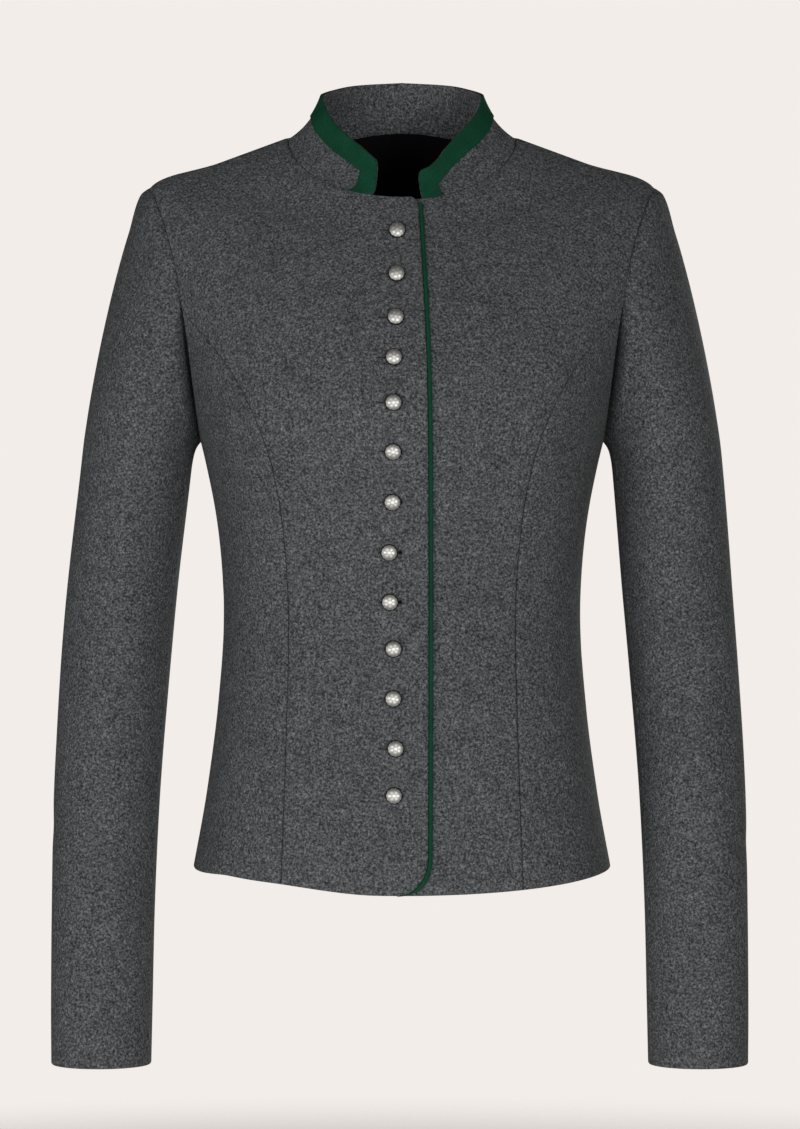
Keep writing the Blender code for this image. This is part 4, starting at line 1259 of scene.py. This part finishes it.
end_steps = even_steps(0, 1, BAND_END_STEPS)
band_paths = end_steps[:-1] + [1.5 + column / 2 for column in collar_columns]
band_paths += [2 + step for step in end_steps[1:]]
band_cut = Cut("collar_band", FELT, "green_felt", "laid", ["collar"])
band_edges = Edges(FELT_EDGE, FELT_EDGE, PLAIN, PLAIN)
band_columns = steps_with_edges(0, 1, BAND_COLUMNS, BAND_END_WIDTH)
cloth_sheet(band_cut, band_columns, band_paths, band_place, band_edges, [felt])

# %% Front piping
PIPING_WIDTH, PIPING_SINK, PIPING_TOP_DROP = 2.8, 0.3, 4.8
PIPING_TAPER_FROM, PIPING_TAPER_TO = -0.08, 0.3
PIPING_EDGE = EdgeForm(0.8, 1.4)
PIPING_STEPS, PIPING_COLUMNS, PIPING_LEVEL_STEP = 190, 10, 0.3


def piping_edge(level):
    return right_front_point(lap_angle(level), level)


def piping_place(share, level):
    low, high = max(level - PIPING_LEVEL_STEP, HEM), min(level + PIPING_LEVEL_STEP, NECK)
    along = (piping_edge(high) - piping_edge(low)).normalized()
    outward = body_normal(lap_angle(level), level)
    away = along.cross(outward).normalized()
    away *= math.copysign(1, away.x) if abs(away.x) > abs(away.z) else -math.copysign(1, away.z)
    from_hem = (body_point(0, level).z - FRONT_HEM_Z) / HEM_CORNER_HEIGHT
    taper = smooth_step(PIPING_TAPER_FROM, PIPING_TAPER_TO, from_hem)
    reach = SEAM_GAP + PIPING_WIDTH * taper * share
    return piping_edge(level) + away * reach - outward * PIPING_SINK, outward


piping_top = solve(TIP, NECK, lambda t: body_point(0, t).z > FRONT_NECK_Z - PIPING_TOP_DROP)
piping_levels = even_steps(HEM, piping_top, PIPING_STEPS)
piping_levels += [level for level in corner_levels() if level < piping_top]
piping_rows = merged(piping_levels, PIPING_LEVEL_STEP)
piping_cut = Cut("front_piping", FELT, "green_felt", "laid", ["centre_front_right"])
piping_edges = Edges(PIPING_EDGE, PIPING_EDGE, PLAIN, PLAIN)
piping_columns = even_steps(0, 1, PIPING_COLUMNS)
cloth_sheet(piping_cut, piping_columns, piping_rows, piping_place, piping_edges, [felt])

# %% [markdown]
# ## Buttons
# Trachten buttons are small pressed domes with a raised pattern and a shank behind. The outline is spun
# round its axis, and the dome's points are then lifted by a simple pattern: a boss, a rosette of six petals
# and a ring of leaves that fades into a plain rim, painted black as dark patina and as painted shade. Each
# button is turned a little differently, as sewn-on buttons are, and droops on its shank where the chest
# slopes.

# %% Button shape
BUTTON_RADIUS, BUTTON_RIM, BUTTON_DOME = 5.9, 0.9, 2.9
SHANK_RADIUS, SHANK_LENGTH, BACK_SHARE = 1.6, 0.9, 0.88
RIM_FOOT_SHARE, RIM_FOOT_HEIGHT = 0.97, 0.35
RELIEF_ROUNDNESS, SLACK = 0.6, 0.01
DOME_STEPS, BUTTON_STEPS = 30, 96
RELIEF_HEIGHT, RIM_PATINA_AND_SHADE, BLACK_RIM = 0.07, -0.6, (0.6, 0.8)
Band = namedtuple("Band", "start end count twist height")
RELIEF_BANDS = [
    Band(-0.15, 0.15, 0, 0.0, 0.9),
    Band(0.17, 0.50, 6, 0.0, 1.0),
    Band(0.54, 0.86, 11, 2.4, 0.95),
]


def button_relief(away, turn):
    """Height of the pattern from 0 to 1. away runs from the dome's top at 0 to its rim at 1."""
    for band in RELIEF_BANDS:
        if band.start < away < band.end:
            share = (away - band.start) / (band.end - band.start)
            wave = 0.5 + 0.5 * math.cos(band.count * turn + band.twist * math.sin(math.pi * share))
            return band.height * math.sin(math.pi * share) ** RELIEF_ROUNDNESS * wave
    return 0.0


def button_shape():
    """A spun button at the origin, dome up, whose attribute holds its pattern's height and its rim's patina
    and painted shade.
    """
    shape = bmesh.new()
    outline, dome_foot = [], SHANK_LENGTH + BUTTON_RIM
    for step in range(DOME_STEPS + 1):
        turn = math.pi / 2 * step / DOME_STEPS
        outline.append((BUTTON_RADIUS * math.sin(turn), dome_foot + BUTTON_DOME * math.cos(turn)))
    outline.append((BUTTON_RADIUS * RIM_FOOT_SHARE, SHANK_LENGTH + RIM_FOOT_HEIGHT))
    outline.append((BUTTON_RADIUS * BACK_SHARE, SHANK_LENGTH))
    outline += [(SHANK_RADIUS, SHANK_LENGTH), (SHANK_RADIUS, 0.0), (0.0, 0.0)]
    points = [shape.verts.new((radius, 0, height)) for radius, height in outline]
    lines = [shape.edges.new(pair) for pair in zip(points, points[1:])]
    bmesh.ops.spin(
        shape, geom=points + lines, cent=(0, 0, 0), axis=(0, 0, 1),
        angle=math.tau, steps=BUTTON_STEPS, use_merge=True, use_duplicate=False,
    )
    bmesh.ops.remove_doubles(shape, verts=shape.verts[:], dist=0.001)
    bmesh.ops.recalc_face_normals(shape, faces=shape.faces[:])
    if shape.calc_volume(signed=True) < 0:
        bmesh.ops.reverse_faces(shape, faces=shape.faces[:])
    relief = shape.verts.layers.float.new("relief")
    for vertex in shape.verts:
        radius = math.hypot(vertex.co.x, vertex.co.y)
        on_dome = vertex.co.z > dome_foot - SLACK
        away = math.asin(min(radius / BUTTON_RADIUS, 1)) / (math.pi / 2) if on_dome else 1.0
        height = button_relief(away, math.atan2(vertex.co.y, vertex.co.x))
        # Towards the rim the value falls below zero, which the finish paints black: dark patina and painted
        # shade.
        vertex[relief] = mix(height, RIM_PATINA_AND_SHADE, smooth_step(*BLACK_RIM, away))
    shape.normal_update()
    for vertex in shape.verts:
        vertex.co += vertex.normal * vertex[relief] * RELIEF_HEIGHT
    return shape


pattern = button_shape()
print("button", len(pattern.faces), "faces")

# %% Buttons
ButtonPlace = namedtuple("ButtonPlace", "x z")
BUTTONS = [
    ButtonPlace(-3.2, -70.6),
    ButtonPlace(-3.6, -101.4),
    ButtonPlace(-4.2, -131.6),
    ButtonPlace(-5.4, -159.2),
    ButtonPlace(-5.7, -189.7),
    ButtonPlace(-6.0, -222.6),
    ButtonPlace(-6.4, -256.4),
    ButtonPlace(-8.6, -290.4),
    ButtonPlace(-8.1, -324.1),
    ButtonPlace(-5.7, -356.0),
    ButtonPlace(-5.9, -389.7),
    ButtonPlace(-4.3, -423.5),
    ButtonPlace(-5.4, -455.3),
]
BUTTON_TURN_STEP, BUTTON_DROOP, BUTTON_LIFT = 37.0, 0.6, 0.1


def button_level(button):
    """The ring level of a button, from its height on the right front's centre line."""
    return solve(HEM, NECK, lambda t: right_front_point(0, t).z > button.z)


for number, button in enumerate(BUTTONS, start=1):
    level = button_level(button)
    angle = -angle_at_x(level, lambda _: -button.x)
    outward = body_normal(angle, level)
    seat = right_front_point(angle, level) + outward * BUTTON_LIFT
    hanging = outward.lerp(Vector((0, -1, 0)), BUTTON_DROOP)
    shape = pattern.copy()
    turned = Matrix.Rotation(math.radians(BUTTON_TURN_STEP * number), 4, "Z")
    facing = Matrix.Translation(seat) @ hanging.to_track_quat("Z", "Y").to_matrix().to_4x4() @ turned
    bmesh.ops.transform(shape, matrix=Matrix.Scale(MM, 4) @ facing, verts=shape.verts[:])
    node = f"button_{number:02d}"
    new_piece(f"{node}_silver", shape, [silver], "old_silver", [node])
pattern.free()
print(len(BUTTONS), "buttons")

# %% [markdown]
# ## Buttonholes
# The buttons are sewn to the left front and pass through keyhole buttonholes in the right one. A buttonhole
# is a slit that ends in a small round eye near the edge, with close stitches across its lips. The eye shows
# beside the buttons that sit further in. The stitches are tiny grains placed along the lips. The dark
# opening of the slit and its eye is painted shade: a thin black sliver on the cloth.

# %% Buttonholes
EYE_X, EYE_RADIUS, SLIT_END_X, SLIT_HALF = -1.2, 1.35, -16.0, 0.2
STITCH_STEP, STITCH_LENGTH, STITCH_WIDTH, STITCH_HEIGHT = 0.62, 1.15, 0.44, 0.22
EYE_SWEEP, EYE_STITCHES, EYE_SIDES, EYE_TAPER = 2.6, 16, 20, 0.9
SLIT_HEIGHT = 0.12


def front_spot(level, x, up):
    """A place on the right front at this x and this far above a level, with its outward direction."""
    angle = math.copysign(angle_at_x(level, lambda _: abs(x)), x)
    point, outward = right_front_point(angle, level), body_normal(angle, level)
    rise = (right_front_point(angle, level + 1) - right_front_point(angle, level - 1)).normalized()
    return point + rise * up, outward, rise


def lip_places():
    """(x, height, direction) of the stitches round one buttonhole."""
    places = []
    count = round((EYE_X - EYE_RADIUS - SLIT_END_X) / STITCH_STEP)
    for x in even_steps(SLIT_END_X, EYE_X - EYE_RADIUS, count):
        for way in (-1, 1):
            places.append((x, way * (SLIT_HALF + STITCH_LENGTH / 2), math.pi / 2))
    for turn in even_steps(-EYE_SWEEP, EYE_SWEEP, EYE_STITCHES):
        reach = EYE_RADIUS + STITCH_LENGTH / 2
        places.append((EYE_X + reach * math.cos(turn), reach * math.sin(turn), turn))
    return places


def add_stitches(shape, level):
    for x, up, turn in lip_places():
        point, outward, rise = front_spot(level, x, up)
        sideways = rise.cross(outward)
        along = sideways * math.cos(turn) + rise * math.sin(turn)
        axes = Matrix((along, outward.cross(along), outward)).transposed().to_4x4()
        size = Matrix.Diagonal((STITCH_LENGTH / 2, STITCH_WIDTH / 2, STITCH_HEIGHT, 1))
        place = Matrix.Translation(point) @ axes @ size
        bmesh.ops.create_uvsphere(
            shape, u_segments=6, v_segments=4, radius=1, matrix=Matrix.Scale(MM, 4) @ place
        )


def flat_on_front(level, x):
    """Axes on the cloth for something as thick as the slit, scaled to metres."""
    point, outward, rise = front_spot(level, x, 0)
    axes = Matrix((rise.cross(outward), rise, outward)).transposed().to_4x4()
    return Matrix.Scale(MM, 4) @ Matrix.Translation(point + outward * SLIT_HEIGHT / 2) @ axes


def add_slit_shade(shape, level):
    """Painted shade for a keyhole's dark opening: a flat round eye and a long narrow strip, a hair above the
    cloth.
    """
    bmesh.ops.create_cone(
        shape, cap_ends=True, segments=EYE_SIDES, radius1=EYE_RADIUS, radius2=EYE_RADIUS * EYE_TAPER,
        depth=SLIT_HEIGHT, matrix=flat_on_front(level, EYE_X),
    )
    size = Matrix.Diagonal((EYE_X - SLIT_END_X, 2 * SLIT_HALF, SLIT_HEIGHT, 1))
    strip = flat_on_front(level, (EYE_X + SLIT_END_X) / 2) @ size
    bmesh.ops.create_cube(shape, size=1, matrix=strip)


stitches, slit_shades = bmesh.new(), bmesh.new()
for button in BUTTONS:
    level = button_level(button)
    worked = bmesh.new()
    add_stitches(worked, level)
    one_hole = bpy.data.meshes.new("one_buttonhole")
    worked.to_mesh(one_hole)
    worked.free()
    stitches.from_mesh(one_hole)
    bpy.data.meshes.remove(one_hole)
    add_slit_shade(slit_shades, level)
print(len(BUTTONS), "buttonholes,", len(stitches.faces), "stitch faces")
new_piece("buttonhole_stitches", stitches, [thread], "grey_wool")
# The keyholes get the black lining finish as painted shade for their dark openings.
new_piece("buttonhole_slit_shade", slit_shades, [lining], "black_lining")
